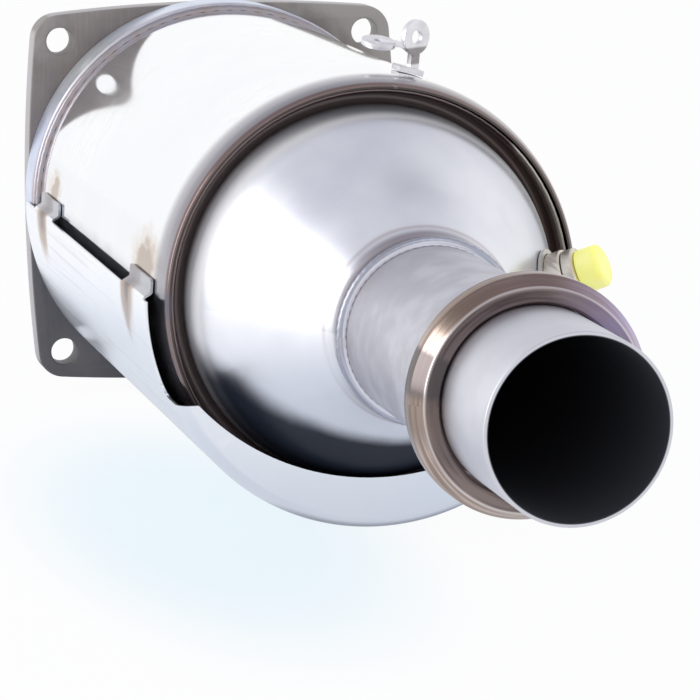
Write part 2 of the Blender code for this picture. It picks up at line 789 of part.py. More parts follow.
def swept_shield():
    """The folded section swept from the left edge under the belly to the right edge."""
    rise = math.asin(SHIELD_EDGE_RISE / SHIELD_RADIUS)
    outline = sheet_outline(shield_line(), SHIELD_SHEET)
    if signed_area(outline) < 0:
        outline = outline[::-1]
    shape = bmesh.new()
    verts = [shape.verts.new((radius, 0, station)) for station, radius in outline]
    shape.faces.new(verts)
    spin = Matrix.Rotation(rise, 4, "Z")
    bmesh.ops.transform(shape, matrix=spin, verts=shape.verts)
    steps = FINE_STEPS // 2
    made = bmesh.ops.spin(
        shape,
        geom=shape.verts[:] + shape.edges[:] + shape.faces[:],
        cent=(0, 0, 0),
        axis=(0, 0, -1),
        angle=math.pi + 2 * rise,
        steps=steps,
        use_merge=False,
    )
    assert made["geom_last"]
    bmesh.ops.recalc_face_normals(shape, faces=shape.faces)
    return mesh_from(shape, "heat_shield")


def foot_line(side):
    """From inside the shield's edge, down a ramp to a pad on the can. Side is 1 right, -1 left."""
    wall = SHIELD_BORE + SHIELD_SHEET / 2
    pad = CAN_RADIUS + SEAT_GAP + SHIELD_SHEET / 2
    edge = math.asin(SHIELD_EDGE_RISE / SHIELD_RADIUS)
    root = edge - 2 * SHIELD_SHEET / wall
    ramp = edge + FOOT_RAMP / wall
    top = ramp + FOOT_HEIGHT / pad
    line = [(wall, root), (wall, edge), (pad, ramp), (pad, (ramp + top) / 2), (pad, top)]
    if side < 0:
        line = [(radius, math.pi - angle) for radius, angle in line]
    return line


def build_shield():
    """A belly shield of one sheet: a notch at each front corner, a folded apron and four feet."""
    mesh = swept_shield()
    piece = add_piece("heat_shield", mesh, "shield_steel")
    reach = 2 * SHIELD_RADIUS
    rise = APRON_EDGE_RADIUS - (SHIELD_RADIUS - APRON_DEPTH)
    deep = APRON_REACH + SIDE_SETBACK
    edge = cylinder_mesh(
        "apron_edge", APRON_EDGE_RADIUS, APRON - APRON_BEND, APRON + deep, FINE_STEPS, (0, rise)
    )
    side_front = LIP - SIDE_SETBACK
    notch = add_cutter(
        "side_notch", box_mesh("side_notch", (-reach, -NOTCH_LEVEL, side_front), (reach, reach, APRON + deep))
    )
    rounding = notch.modifiers.new("Round", "BEVEL")
    rounding.width = NOTCH_ROUND
    rounding.segments = 3
    boolean(piece, notch)
    boolean(piece, add_cutter("apron_edge", edge))
    stations = {"rear": REAR_FOOT, "front": LIP - FRONT_FOOT_SETBACK}
    for side, hand in ((-1, "left"), (1, "right")):
        for end, station in stations.items():
            name = f"foot_{hand}_{end}"
            half = FOOT_LENGTH / 2
            foot = wrapped_strip(name, foot_line(side), station - half, station + half, SHIELD_SHEET * 0.9)
            boolean(piece, add_cutter(name, foot), "UNION")


clear_scene()
PIECES = new_collection("diesel_particulate_filter")
CUTTERS = new_collection("cutters", hidden=True)
AXIS = bpy.data.objects.new("filter_axis", None)
PIECES.objects.link(AXIS)
AXIS.location = (0, MIDDLE, AXIS_HEIGHT)
AXIS.rotation_euler = (math.pi / 2, 0, 0)

build_flange()
build_inlet_collar()
build_inlet_weld()
build_can()
build_wrapping()
build_block()
build_cone()
build_rim_weld()
build_pipe()
build_joint_collar()
build_port()
build_bracket()
build_shield()
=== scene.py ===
# %% [markdown]
# # A diesel particulate filter, modelled as by hand
# The object is a round exhaust can with a square bolting flange at one end and a coned outlet
# with a short pipe at the other. Nearly every piece was turned, rolled or pressed from sheet, so
# nearly every piece here is a section that is spun round the can's axis, or a sheet that is bent.
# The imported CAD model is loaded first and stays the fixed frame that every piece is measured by.

# %% The frame
import math

import bmesh
import bpy
from mathutils import Matrix, Vector


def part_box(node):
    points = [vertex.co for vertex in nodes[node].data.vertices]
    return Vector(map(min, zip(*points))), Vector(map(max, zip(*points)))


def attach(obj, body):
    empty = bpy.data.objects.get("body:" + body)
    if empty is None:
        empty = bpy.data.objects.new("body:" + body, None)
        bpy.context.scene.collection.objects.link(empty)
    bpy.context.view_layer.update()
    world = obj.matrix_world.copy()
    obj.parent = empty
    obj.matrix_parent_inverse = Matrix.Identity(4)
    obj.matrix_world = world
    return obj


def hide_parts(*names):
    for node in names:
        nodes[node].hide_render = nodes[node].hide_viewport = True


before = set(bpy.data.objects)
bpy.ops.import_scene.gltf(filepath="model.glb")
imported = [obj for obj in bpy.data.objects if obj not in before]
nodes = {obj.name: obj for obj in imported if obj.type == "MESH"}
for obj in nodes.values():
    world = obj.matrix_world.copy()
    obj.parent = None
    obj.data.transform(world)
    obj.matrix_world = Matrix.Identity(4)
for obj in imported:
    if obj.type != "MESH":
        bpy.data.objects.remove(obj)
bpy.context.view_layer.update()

MM = 0.001

# %% [markdown]
# The can's axis lies level along Y. A station is a distance along it in millimetres, counted from
# the front face of the flange towards the outlet. Both origins are read from the CAD boxes, so a
# station here means the same as on a drawing of the part.

# %% The axis and its stations
can_low, can_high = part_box("can_shell")
flange_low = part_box("inlet_flange")[0]
AXIS_HEIGHT = (can_low.z + can_high.z) / 2
FLANGE_FACE = flange_low.y
AXIS = Vector((0, FLANGE_FACE, AXIS_HEIGHT))
OUTLET_WAY = Vector((0, -1, 0))
LATHE = (AXIS, OUTLET_WAY, Vector((1, 0, 0)))
height, face = round(AXIS_HEIGHT / MM, 2), round(FLANGE_FACE / MM, 2)
print("axis height", height, "mm, flange face at y", face, "mm")


def spot(station, radius, lathe=LATHE):
    """The place on a lathe's drawing plane at a station and a radius in millimetres."""
    origin, along, out = lathe
    return origin + along * (station * MM) + out * (radius * MM)


# %% [markdown]
# A turned piece starts as half of its section. Corners are given as station, radius and rounding,
# and a small arc takes each rounded corner, because no real edge is perfectly sharp and the thin
# light line on a rounded edge is what makes metal look like metal.

# %% Section lines
def arc(centre, radius, start, end, step=9.0):
    """Points round a centre, from one angle to another, in degrees."""
    count = max(2, math.ceil(abs(end - start) / step))
    turns = [math.radians(start + (end - start) * i / count) for i in range(count + 1)]
    return [(centre[0] + radius * math.cos(a), centre[1] + radius * math.sin(a)) for a in turns]


def rounded(corners, step=18.0):
    """Points of an outline with its corners rounded. Each corner is (station, radius, rounding)."""
    points = []
    for index, (x, y, rounding) in enumerate(corners):
        if rounding <= 0:
            points.append((x, y))
            continue
        here = Vector((x, y))
        before = (Vector(corners[index - 1][:2]) - here).normalized()
        after = (Vector(corners[(index + 1) % len(corners)][:2]) - here).normalized()
        half = before.angle(after) / 2
        centre = here + (before + after).normalized() * (rounding / math.sin(half))
        first = here + before * (rounding / math.tan(half)) - centre
        last = here + after * (rounding / math.tan(half)) - centre
        swing = math.atan2(first.x * last.y - first.y * last.x, first.dot(last))
        start = math.atan2(first.y, first.x)
        points += arc(centre, rounding, math.degrees(start), math.degrees(start + swing), step)
    return points


def sheet_line(line, thickness):
    """A closed outline round an open line, half the sheet's thickness to each side."""
    sides = ([], [])
    for index, point in enumerate(line):
        here = Vector(point)
        ahead = Vector(line[min(index + 1, len(line) - 1)])
        behind = Vector(line[max(index - 1, 0)])
        into = (here - behind).normalized() if index else (ahead - here).normalized()
        out = (ahead - here).normalized() if index < len(line) - 1 else into
        along = (into + out).normalized()
        across = Vector((-along.y, along.x)) / max(0.5, along.dot(into))
        for side, sign in zip(sides, (1, -1)):
            side.append(tuple(here + across * (sign * thickness / 2)))
    return sides[0] + sides[1][::-1]


# %% [markdown]
# The section is drawn as one does it by hand: a tiny plane is added, merged to a single vertex,
# and that vertex is extruded from point to point. Then the Spin operator turns the line round the
# axis. Spin leaves a seam where the first and the last line meet, so doubles are merged, and
# after that the normals are recalculated so that all of them point outwards.

# %% The lathe
CAN_STEPS, PIPE_STEPS, PORT_STEPS = 256, 192, 96
DOUBLES_APART = 0.002


def deselect():
    bpy.ops.object.select_all(action="DESELECT")


def pick(piece):
    """Makes a piece the only selected object, and the active one."""
    deselect()
    piece.select_set(True)
    bpy.context.view_layer.objects.active = piece


def draw_line(name, points):
    """A new object whose mesh is one line through the points. It is left in edit mode."""
    deselect()
    bpy.ops.mesh.primitive_plane_add(size=MM, location=points[0])
    piece = bpy.context.object
    piece.name = piece.data.name = name
    bpy.ops.object.transform_apply(location=True, rotation=True, scale=True)
    bpy.ops.object.mode_set(mode="EDIT")
    bpy.ops.mesh.select_mode(type="VERT")
    bpy.ops.mesh.select_all(action="SELECT")
    bpy.ops.mesh.merge(type="CENTER")
    for before, after in zip(points, points[1:]):
        bpy.ops.mesh.extrude_vertices_move(TRANSFORM_OT_translate={"value": after - before})
    return piece


def clean():
    """Merges doubles and turns every face outwards. Used in edit mode."""
    bpy.ops.mesh.select_all(action="SELECT")
    bpy.ops.mesh.remove_doubles(threshold=DOUBLES_APART * MM)
    bpy.ops.mesh.normals_make_consistent(inside=False)


def spin(steps, lathe=LATHE, angle=360.0):
    """Turns the selected line round a lathe's axis. Used in edit mode."""
    origin, along = lathe[:2]
    bpy.ops.mesh.select_all(action="SELECT")
    bpy.ops.mesh.spin(steps=steps, angle=math.radians(angle), center=origin, axis=along)


def turned(name, outline, steps=160, lathe=LATHE):
    """A closed outline of (station, radius) points turned once round the lathe's axis."""
    points = [spot(station, radius, lathe) for station, radius in [*outline, outline[0]]]
    piece = draw_line(name, points)
    spin(steps, lathe)
    clean()
    bpy.ops.object.mode_set(mode="OBJECT")
    return piece


def finished(piece, slot, *nodes, angle=35.0, flat_faces=False):
    """Shades a piece, hides the parts that it stands for and prints its size."""
    pick(piece)
    bpy.ops.object.shade_smooth_by_angle(angle=math.radians(angle))
    if flat_faces:
        apply_modifier(piece, "WEIGHTED_NORMAL", keep_sharp=True)
    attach(piece, "root")
    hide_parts(*nodes)
    size = [round(value / MM, 1) for value in piece.dimensions]
    print(piece.name, "faces", len(piece.data.polygons), "size", size, "mm")
    return piece


def apply_modifier(piece, kind, **settings):
    """Adds a modifier with its settings and applies it."""
    pick(piece)
    bpy.ops.object.modifier_add(type=kind)
    made = piece.modifiers[-1]
    for key, value in settings.items():
        setattr(made, key, value)
    bpy.ops.object.modifier_apply(modifier=made.name)


def cut_with(piece, tool, operation="DIFFERENCE"):
    """Applies a Boolean with another object, which is then deleted."""
    apply_modifier(piece, "BOOLEAN", object=tool, operation=operation, solver="EXACT")
    bpy.data.objects.remove(tool, do_unlink=True)


def select_where(piece, wanted, kind="VERT"):
    """In edit mode, selects only the vertices, edges or faces for which wanted is true."""
    bpy.ops.mesh.select_mode(type=kind)
    bpy.ops.mesh.select_all(action="DESELECT")
    shape = bmesh.from_edit_mesh(piece.data)
    items = {"VERT": shape.verts, "EDGE": shape.edges, "FACE": shape.faces}[kind]
    count = 0
    for item in items:
        if wanted(item):
            item.select_set(True)
            count += 1
    shape.select_flush_mode()
    bmesh.update_edit_mesh(piece.data)
    return count


# %% [markdown]
# ## The can
# The can is a welded tube of thin polished steel. At the outlet end a roller has pressed its edge
# gently inward to a lip, which the cone's skirt is welded to. The lip is an arc that leaves the
# straight wall without a crease, so the reflection runs over it smoothly. A hand-made bevel would
# show a line there, so the arc is part of the spun section.

# %% Can shell
CAN_RADIUS, CAN_WALL = 78.0, 1.5
LIP, LIP_LENGTH, LIP_DROP = 236.5, 13.5, 2.5
roll = (LIP_LENGTH**2 + LIP_DROP**2) / (2 * LIP_DROP)
swing = math.degrees(math.asin(LIP_LENGTH / roll))


def rolled(radius, count=10):
    """The lip's arc at a radius, tangent to the straight wall."""
    start = LIP - LIP_LENGTH
    turns = [math.radians(swing * i / count) for i in range(1, count + 1)]
    return [(start + roll * math.sin(a), radius - roll * (1 - math.cos(a))) for a in turns]


outer = [(0.3, CAN_RADIUS), *[(s, CAN_RADIUS) for s in (18, 60, 110, 160, 200, LIP - LIP_LENGTH)]]
inner = [(0.3, CAN_RADIUS - CAN_WALL), (LIP - LIP_LENGTH, CAN_RADIUS - CAN_WALL)]
edge_out, edge_in = rolled(CAN_RADIUS)[:-1], rolled(CAN_RADIUS - CAN_WALL)
lip_top = rolled(CAN_RADIUS)[-1]
lip_corners = [(lip_top[0] - 0.45, lip_top[1] + 0.14), (lip_top[0] - 0.12, lip_top[1] - 0.06)]
lip_corners += [(lip_top[0], lip_top[1] - 0.45)]
can_outline = [*outer, *edge_out, *lip_corners, *edge_in[::-1], *inner[::-1]]
can = turned("can_shell_polished", can_outline, CAN_STEPS)
finished(can, "polished_steel", "can_shell")

# %% [markdown]
# ## The inlet end
# A turned collar covers the can's end against the flange, with a weld bead in the step between
# them. The bead is a rounded crown, made as part of the spin like everything else.

# %% Inlet collar and its weld
COLLAR_BORE, COLLAR_RADIUS, COLLAR_END = 78.3, 80.7, 17.0
corners = [(0.3, COLLAR_BORE, 0), (0.3, COLLAR_RADIUS, 0.2)]
corners += [(COLLAR_END, COLLAR_RADIUS, 1.4), (COLLAR_END, COLLAR_BORE, 0.2)]
collar = turned("inlet_collar_turned", rounded(corners, 12), CAN_STEPS)
finished(collar, "polished_steel", "inlet_collar")


def bead_line(start, width, seat, height, count=8):
    """A weld bead's section: flat on its seat, rounded above it."""
    points = []
    for i in range(count + 1):
        turn = math.pi * i / count
        points.append((start + width / 2 * (1 - math.cos(turn)), seat + height * math.sin(turn)))
    return points


def bead(name, outline, steps, growth, node):
    """Turns a bead and swells every third ring of it a little, as the torch's pauses leave it."""
    piece = turned(name, outline, steps)
    origin, along, out = LATHE
    side = along.cross(out)
    ring_width = 2 * math.pi / steps

    def on_crest(vert):
        away = vert.co - origin
        return round(math.atan2(away.dot(side), away.dot(out)) / ring_width) % 3 == 0

    bpy.context.view_layer.objects.active = piece
    bpy.ops.object.mode_set(mode="EDIT")
    select_where(piece, on_crest)
    bpy.ops.transform.resize(value=(growth, 1, growth), center_override=tuple(origin))
    bpy.ops.object.mode_set(mode="OBJECT")
    return finished(piece, "weld_metal", node, angle=60)


inlet_line = bead_line(17.0, 2.7, 78.0, 2.0)
inlet_bead = bead("inlet_weld_bead", inlet_line, CAN_STEPS, 1.0015, "inlet_weld")

# %% [markdown]
# The flange is a laser-cut plate: a square with round corners about its bolt holes and gently
# bulging sides. Its outline is drawn once with the same extruded line, filled, and thickened by
# extruding the face. The bore and the bolt holes are cut with cylinders, and a small bevel breaks
# every sharp edge, as the tumbling barrel does.

# %% Flange plate
HOLE_OFFSET, HOLE_RADIUS, CORNER_RADIUS, SIDE_BULGE = 64.983, 5.5, 10.9, 3.1
FLANGE_THICKNESS, FLANGE_BORE = 10.0, 70.0


def flange_outline():
    """The plate's edge as (x, z) in millimetres from the axis, with arcs tangent to each other."""
    middle = HOLE_OFFSET + CORNER_RADIUS + SIDE_BULGE
    side = (HOLE_OFFSET**2 + (middle - HOLE_OFFSET) ** 2 - CORNER_RADIUS**2) / (2 * SIDE_BULGE)
    lean = math.degrees(math.atan2(HOLE_OFFSET, HOLE_OFFSET - middle + side))
    points = []
    for turn in range(4):
        across = arc((0, middle - side), side, 90 + lean, 90 - lean, lean / 10)
        corner = arc((HOLE_OFFSET, HOLE_OFFSET), CORNER_RADIUS, 90 - lean, lean, 6)
        quarter = Matrix.Rotation(math.radians(-90 * turn), 2)
        points += [tuple(quarter @ Vector(p)) for p in across[:-1] + corner[:-1]]
    return points


def cylinder(name, radius, start, end, x=0.0, z=0.0, steps=64):
    """A solid cylinder along the can's axis, between two stations."""
    deselect()
    bpy.ops.mesh.primitive_cylinder_add(
        vertices=steps,
        radius=radius * MM,
        depth=(end - start) * MM,
        location=AXIS + Vector((x * MM, -(start + end) / 2 * MM, z * MM)),
        rotation=(math.pi / 2, 0, 0),
    )
    made = bpy.context.object
    made.name = name
    bpy.ops.object.transform_apply(location=True, rotation=True, scale=True)
    return made


def thickened(name, points, way):
    """A closed line that is filled and then extruded by a vector."""
    piece = draw_line(name, points)
    bpy.ops.mesh.select_all(action="SELECT")
    bpy.ops.mesh.edge_face_add()
    bpy.ops.mesh.extrude_region_move(TRANSFORM_OT_translate={"value": way})
    clean()
    bpy.ops.object.mode_set(mode="OBJECT")
    return piece


edge_points = [AXIS + Vector((x * MM, 0, z * MM)) for x, z in flange_outline()]
flange = thickened("inlet_flange_plate", edge_points, (0, FLANGE_THICKNESS * MM, 0))
cut_with(flange, cylinder("bore_tool", FLANGE_BORE, -15, 5, steps=160))
for x, z in ((1, 1), (-1, 1), (-1, -1), (1, -1)):
    cut_with(flange, cylinder("drill", HOLE_RADIUS, -15, 5, HOLE_OFFSET * x, HOLE_OFFSET * z))
apply_modifier(flange, "BEVEL", width=0.8 * MM, segments=3, limit_method="ANGLE", angle_limit=1.0)
finished(flange, "flange_steel", "inlet_flange")

# %% [markdown]
# ## The outlet cone
# The cone is one spun sheet: a skirt that stands inside the lip, a tight groove where it turns
# back, a broad convex shoulder, a straight cone and a short sleeve for the pipe. The middle line
# of the sheet is drawn and given its thickness in the section, so both faces stay parallel.

# %% Cone and rim weld
SHEET = 1.5
SKIRT_FRONT, SKIRT_RADIUS, SKIRT_LENGTH, GROOVE = 233.0, 73.7, 6.0, 3.0
SHOULDER, SLOPE, NECK_BEND = 40.0, 32.0, 6.0
SLEEVE_BORE, NECK, SLEEVE_END = 30.3, 295.922, 301.122
groove_station = SKIRT_FRONT - SKIRT_LENGTH
skirt = SKIRT_RADIUS - SHEET / 2
shoulder_radius = skirt - 2 * GROOVE
sleeve = SLEEVE_BORE + SHEET / 2
neck_turn = NECK_BEND * math.tan(math.radians(SLOPE) / 2)
cone_line = [(SKIRT_FRONT, skirt)]
cone_line += arc((groove_station, skirt - GROOVE), GROOVE, 90, 270, 12)
cone_line += arc((groove_station, shoulder_radius - SHOULDER), SHOULDER, 90, 90 - SLOPE, 2.5)[1:]
cone_line += arc((NECK + neck_turn, sleeve + NECK_BEND), NECK_BEND, -90 - SLOPE, -90, 4)
cone_line += [(SLEEVE_END, sleeve)]
cone = turned("outlet_cone_spun", sheet_line(cone_line, SHEET), CAN_STEPS)
finished(cone, "satin_steel", "outlet_cone")

rim_corners = [(233.3, 72.2, 0), (233.3, 73.7, 0), (234.9, 73.7, 0.3), (234.6, 72.9, 0.5)]
rim_bead = bead("rim_weld_bead", rounded(rim_corners), CAN_STEPS, 0.9992, "rim_weld")

# %% [markdown]
# ## Pipe, neck weld and joint collar
# The pipe is a plain tube whose cut end has been brushed smooth. The neck bead was laid by hand,
# so its ripples are the largest. The collar on the pipe is turned: a straight rim with a long
# bevel in front, where the clamp of the next pipe pulls, and a small chamfer at the tube.

# %% Outlet pipe
PIPE_RADIUS, PIPE_BORE, PIPE_START, TIP = 30.0, 28.5, 291.122, 452.322
corners = [(PIPE_START, PIPE_BORE, 0), (PIPE_START, PIPE_RADIUS, 0)]
corners += [(TIP, PIPE_RADIUS, 0.45), (TIP, PIPE_BORE, 0.35)]
pipe = turned("outlet_pipe_tube", rounded(corners), PIPE_STEPS)
finished(pipe, "satin_steel", "outlet_pipe")

neck_line = bead_line(301.2, 3.6, 30.0, 2.85)
neck_bead = bead("neck_weld_bead", neck_line, PIPE_STEPS, 1.004, "neck_weld")

# %% Joint collar
RING_FACE, RING_FACE_RADIUS, RING_RADIUS, RING_BORE = 411.922, 35.6, 39.0, 30.3
rim_front, rim_back, ring_back = RING_FACE - 5.5, RING_FACE - 10.7, RING_FACE - 13.7
corners = [(ring_back, RING_BORE, 0), (ring_back, RING_FACE_RADIUS, 0.4)]
corners += [(rim_back, RING_RADIUS, 0.9), (rim_front, RING_RADIUS, 0.9)]
corners += [(RING_FACE, RING_FACE_RADIUS, 0.7), (RING_FACE, RING_BORE + 0.9, 0.3)]
corners += [(RING_FACE - 0.9, RING_BORE, 0)]
joint = turned("joint_collar_turned", rounded(corners, 15), PIPE_STEPS)
finished(joint, "tinted_steel", "joint_collar")

collar_line = bead_line(ring_back - 2.9, 2.6, 30.3, 2.6)
collar_bead = bead("collar_weld_bead", collar_line, PIPE_STEPS, 1.003, "collar_weld")

# %% [markdown]
# ## Sensor port
# On the right of the cone a threaded boss leans upward, with a fitting screwed into it and a soft
# plastic cap over the fitting. All three are turned on a lathe of their own, whose axis is the
# port's. The boss is cut to the cone by a cutter that is itself a spun cone.

# %% The port's own lathe
CONE_START, CONE_START_RADIUS, CONE_END = 248.197, 60.872, 295.9
DOWN_THE_CONE = 6.4
slope = math.radians(SLOPE)
port_station = CONE_START + DOWN_THE_CONE * math.cos(slope)
port_radius = CONE_START_RADIUS - DOWN_THE_CONE * math.sin(slope) + SHEET / 2 / math.cos(slope)
lean = math.radians(4)
aim = math.radians(27)
foot = spot(port_station, 0) + Vector((math.cos(lean), 0, math.sin(lean))) * (port_radius * MM)
level_way = math.cos(aim) * math.cos(slope)
port_way = Vector((level_way, -math.sin(slope), math.sin(aim) * math.cos(slope)))
PORT = (foot, port_way, port_way.orthogonal().normalized())
print("port foot", [round(v / MM, 1) for v in foot], "direction", [round(v, 3) for v in port_way])


def cone_cutter(name, above):
    """The space inside a cone that lies this far above the outlet cone's outer face."""
    near = CONE_START_RADIUS + (SHEET / 2 + above) / math.cos(slope)
    reach = 24.0
    low = (CONE_START - reach, near + reach * math.tan(slope))
    high = (CONE_END, near - (CONE_END - CONE_START) * math.tan(slope))
    return turned(name, [(low[0], 0), low, high, (high[0], 0)])


BURIED, BOSS_TOP = -11, 10.0
boss_corners = [(BURIED, 6.9, 0), (BURIED, 10.0, 0), (BOSS_TOP, 10.0, 0.7), (BOSS_TOP, 6.9, 0.3)]
boss = turned("sensor_boss_turned", rounded(boss_corners), PORT_STEPS, PORT)
cut_with(boss, cone_cutter("boss_seat", 0.3))
finished(boss, "plated_steel", "sensor_boss", angle=30)

fillet_outline = [(BURIED, 10.3), (BURIED, 12.0), (BOSS_TOP, 12.0), (BOSS_TOP, 10.3)]
fillet = turned("boss_weld_fillet", fillet_outline, PORT_STEPS, PORT)
cut_with(fillet, cone_cutter("fillet_top", 1.7), "INTERSECT")
cut_with(fillet, cone_cutter("fillet_seat", 0.3))
finished(fillet, "weld_metal", "boss_weld", angle=40)

# %% Fitting and cap
fitting_corners = [(4.5, 1.8, 0), (4.5, 6.6, 0), (10.3, 6.6, 0), (10.3, 9.2, 0.4), (14.5, 9.2, 0.7)]
fitting_corners += [(14.5, 5.8, 0.3), (20.7, 5.8, 0.3), (20.7, 1.8, 0)]
fitting = turned("sensor_fitting_turned", rounded(fitting_corners), PORT_STEPS, PORT)
finished(fitting, "plated_steel", "sensor_fitting")

cap_line = rounded([(14.8, 6.1, 0), (14.8, 7.8, 0.5), (23.2, 7.8, 1.9), (23.2, 0, 0)], 12)
cap = turned("protective_cap_moulded", [*cap_line, (21.0, 0), (21.0, 6.1)], PORT_STEPS, PORT)
finished(cap, "yellow_plastic", "protective_cap", angle=50)

# %% [markdown]
# ## Heat shield
# One pressed sheet hangs under the belly of the can. In section it is a straight line that folds
# inward at the front, so that line is drawn at the left edge and spun half round under the can.
# The step of the spin is chosen so that one column of vertices falls exactly on the top of the
# notch at each front corner. The feet are then extruded from the edges, Solidify gives the sheet
# its thickness, and only after that are the notches and the apron's edge cut away.

# %% Shield: section and sweep
SHIELD_MIDDLE, SHIELD_SHEET, SHIELD_REAR = 81.65, 0.9, 10.0
APRON, APRON_BEND, SIDE_FRONT = 249.55, 4.0, 231.0
NOTCH_LEVEL, APRON_EDGE_RADIUS, APRON_EDGE_RISE = 33.0, 91.0, 27.9
COLUMNS = 148
EDGE_TURN = math.degrees(math.asin(1.0 / 82.1))
stations = [SHIELD_REAR, 28, 45, 62, 105, 150, 192, 209, 226, SIDE_FRONT, 238]
section = [(s, SHIELD_MIDDLE) for s in stations]
section += arc((APRON - APRON_BEND, SHIELD_MIDDLE - APRON_BEND), APRON_BEND, 90, 0, 12)
section += [(APRON, 63.1)]
left = math.radians(180 - EDGE_TURN)
left_lathe = (AXIS, OUTLET_WAY, Vector((math.cos(left), 0, math.sin(left))))
shield = draw_line("heat_shield_pressed", [spot(s, r, left_lathe) for s, r in section])
spin(COLUMNS, angle=-(180 + 2 * EDGE_TURN))
clean()
print("shield columns", COLUMNS + 1, "sweep", round(180 + 2 * EDGE_TURN, 2), "degrees")

# %% [markdown]
# The sheet's feet are joggled inward from its long edges and spot welded to the can. On the real
# part they are pressed together with the sheet, so they are extruded here from the same edges:
# an S-shaped ramp down to the can, then a short flat pad with rounded corners.

# %% Shield: feet
PAD_MIDDLE, RAMP, PAD_HEIGHT = 78.75, 2.5, 4.5
FEET = ((28.0, 62.0), (192.0, 226.0))
ramp_turn, pad_turn = RAMP / SHIELD_MIDDLE, PAD_HEIGHT / PAD_MIDDLE
edge_turn = math.radians(EDGE_TURN)
foot_steps = []
for t in (0.0, 0.2, 0.4, 0.6, 0.8, 1.0):
    ease = t * t * (3 - 2 * t)
    ramp_radius = SHIELD_MIDDLE + (PAD_MIDDLE - SHIELD_MIDDLE) * ease
    foot_steps.append((ramp_radius, edge_turn + ramp_turn * t))
foot_steps.append((PAD_MIDDLE, edge_turn + ramp_turn + pad_turn / 2))
foot_steps.append((PAD_MIDDLE, edge_turn + ramp_turn + pad_turn))


def station_of(place):
    return (FLANGE_FACE - place.y) / MM


for side in (-1, 1):
    for start, end in FEET:

        def on_edge(edge):
            places = [vert.co for vert in edge.verts]
            high = all(abs(place.z - AXIS_HEIGHT - MM) < 0.2 * MM for place in places)
            within = all(start - 0.1 < station_of(place) < end + 0.1 for place in places)
            return high and within and all(place.x * side > 0 for place in places)

        print("foot edges", select_where(shield, on_edge, "EDGE"))
        for (r0, a0), (r1, a1) in zip(foot_steps, foot_steps[1:]):
            over = side * (r1 * math.cos(a1) - r0 * math.cos(a0)) * MM
            up = (r1 * math.sin(a1) - r0 * math.sin(a0)) * MM
            bpy.ops.mesh.extrude_edges_move(TRANSFORM_OT_translate={"value": (over, 0, up)})

pad_top = AXIS_HEIGHT + foot_steps[-1][0] * math.sin(foot_steps[-1][1]) * MM
ends = [value for pair in FEET for value in pair]


def on_pad_corner(vert):
    at_end = any(abs(station_of(vert.co) - value) < 0.1 for value in ends)
    return at_end and vert.co.z > pad_top - 0.1 * MM


print("pad corners", select_where(shield, on_pad_corner))
bpy.ops.mesh.bevel(offset=1.6 * MM, affect="VERTICES", segments=4)
clean()
bpy.ops.object.mode_set(mode="OBJECT")

# %% [markdown]
# Solidify goes half its thickness to each side of the drawn surface. After that the two corner
# notches are cut with a rounded box and the apron's edge with a large cylinder, as the press tool
# cuts them, and a narrow bevel takes the sharpness off the cut edges.

# %% Shield: thickness, notches and apron edge
apply_modifier(shield, "SOLIDIFY", thickness=SHIELD_SHEET * MM, offset=0.0)
deselect()
bpy.ops.mesh.primitive_cube_add(
    size=1.0,
    location=AXIS + Vector((0, -(SIDE_FRONT + 25) * MM, (60 - NOTCH_LEVEL) * MM)),
    scale=(0.2, 0.05, 0.12),
)
notch = bpy.context.object
bpy.ops.object.transform_apply(location=True, rotation=True, scale=True)
apply_modifier(notch, "BEVEL", width=5.0 * MM, segments=6)
cut_with(shield, notch)
cut_with(shield, cylinder("apron_tool", APRON_EDGE_RADIUS, 245, 265, 0, APRON_EDGE_RISE, 256))
apply_modifier(shield, "BEVEL", width=0.18 * MM, segments=2, limit_method="ANGLE", angle_limit=1.0)
finished(shield, "shield_steel", "heat_shield", angle=40, flat_faces=True)

# %% [markdown]
# ## Bracket
# On top of the can a small bent sheet holds a cable: a foot welded to the can, a leg that ends
# in a round eye, and an arm with a round tongue. Each part is a flat outline with a thickness, and
# Booleans join them into the one piece that it really is.

# %% Bracket
BRACKET_TURN, BRACKET_STATION, BRACKET_SHEET = math.radians(73.5), 208.0, 2.0
lean = math.radians(5)
yaw = math.radians(28)
tilt = math.radians(12)
FOOT_INSIDE, FOOT_OUTSIDE, FOOT_WIDTH = 78.3, 80.3, 10.0
EYE_RADIUS, EYE_HOLE, STEM_HALF = 6.3, 2.6, 2.1
EYE_CENTRE, ARM_END = (0, 13.2), (-13.6, 10.4)
TONGUE_RADIUS, TONGUE_HOLE, DRILL_DEPTH = 6.2, 1.8, 6.0
foot_x, foot_z = math.cos(BRACKET_TURN) * FOOT_INSIDE, math.sin(BRACKET_TURN) * FOOT_INSIDE
bracket_foot = AXIS + Vector((foot_x, -BRACKET_STATION, foot_z)) * MM
right = Vector((math.cos(lean), 0, -math.sin(lean)))
upward = Vector((math.sin(lean), 0, math.cos(lean)))
right_yawed = right * math.cos(yaw) - OUTLET_WAY * math.sin(yaw)


def plate(name, outline, origin, across, high, thickness):
    """A flat outline of (across, high) points in millimetres, thickened evenly to both sides."""
    through = across.cross(high).normalized()
    start = origin - through * (thickness / 2 * MM)
    points = [start + (across * x + high * y) * MM for x, y in outline]
    return thickened(name, points, through * (thickness * MM))


def ring_points(radius, centre=(0.0, 0.0), start=0.0, end=360.0):
    """Points of an arc, or of a whole circle without its last point, which is the first one."""
    points = arc(centre, radius, start, end, 7.5)
    return points[:-1] if end - start == 360.0 else points


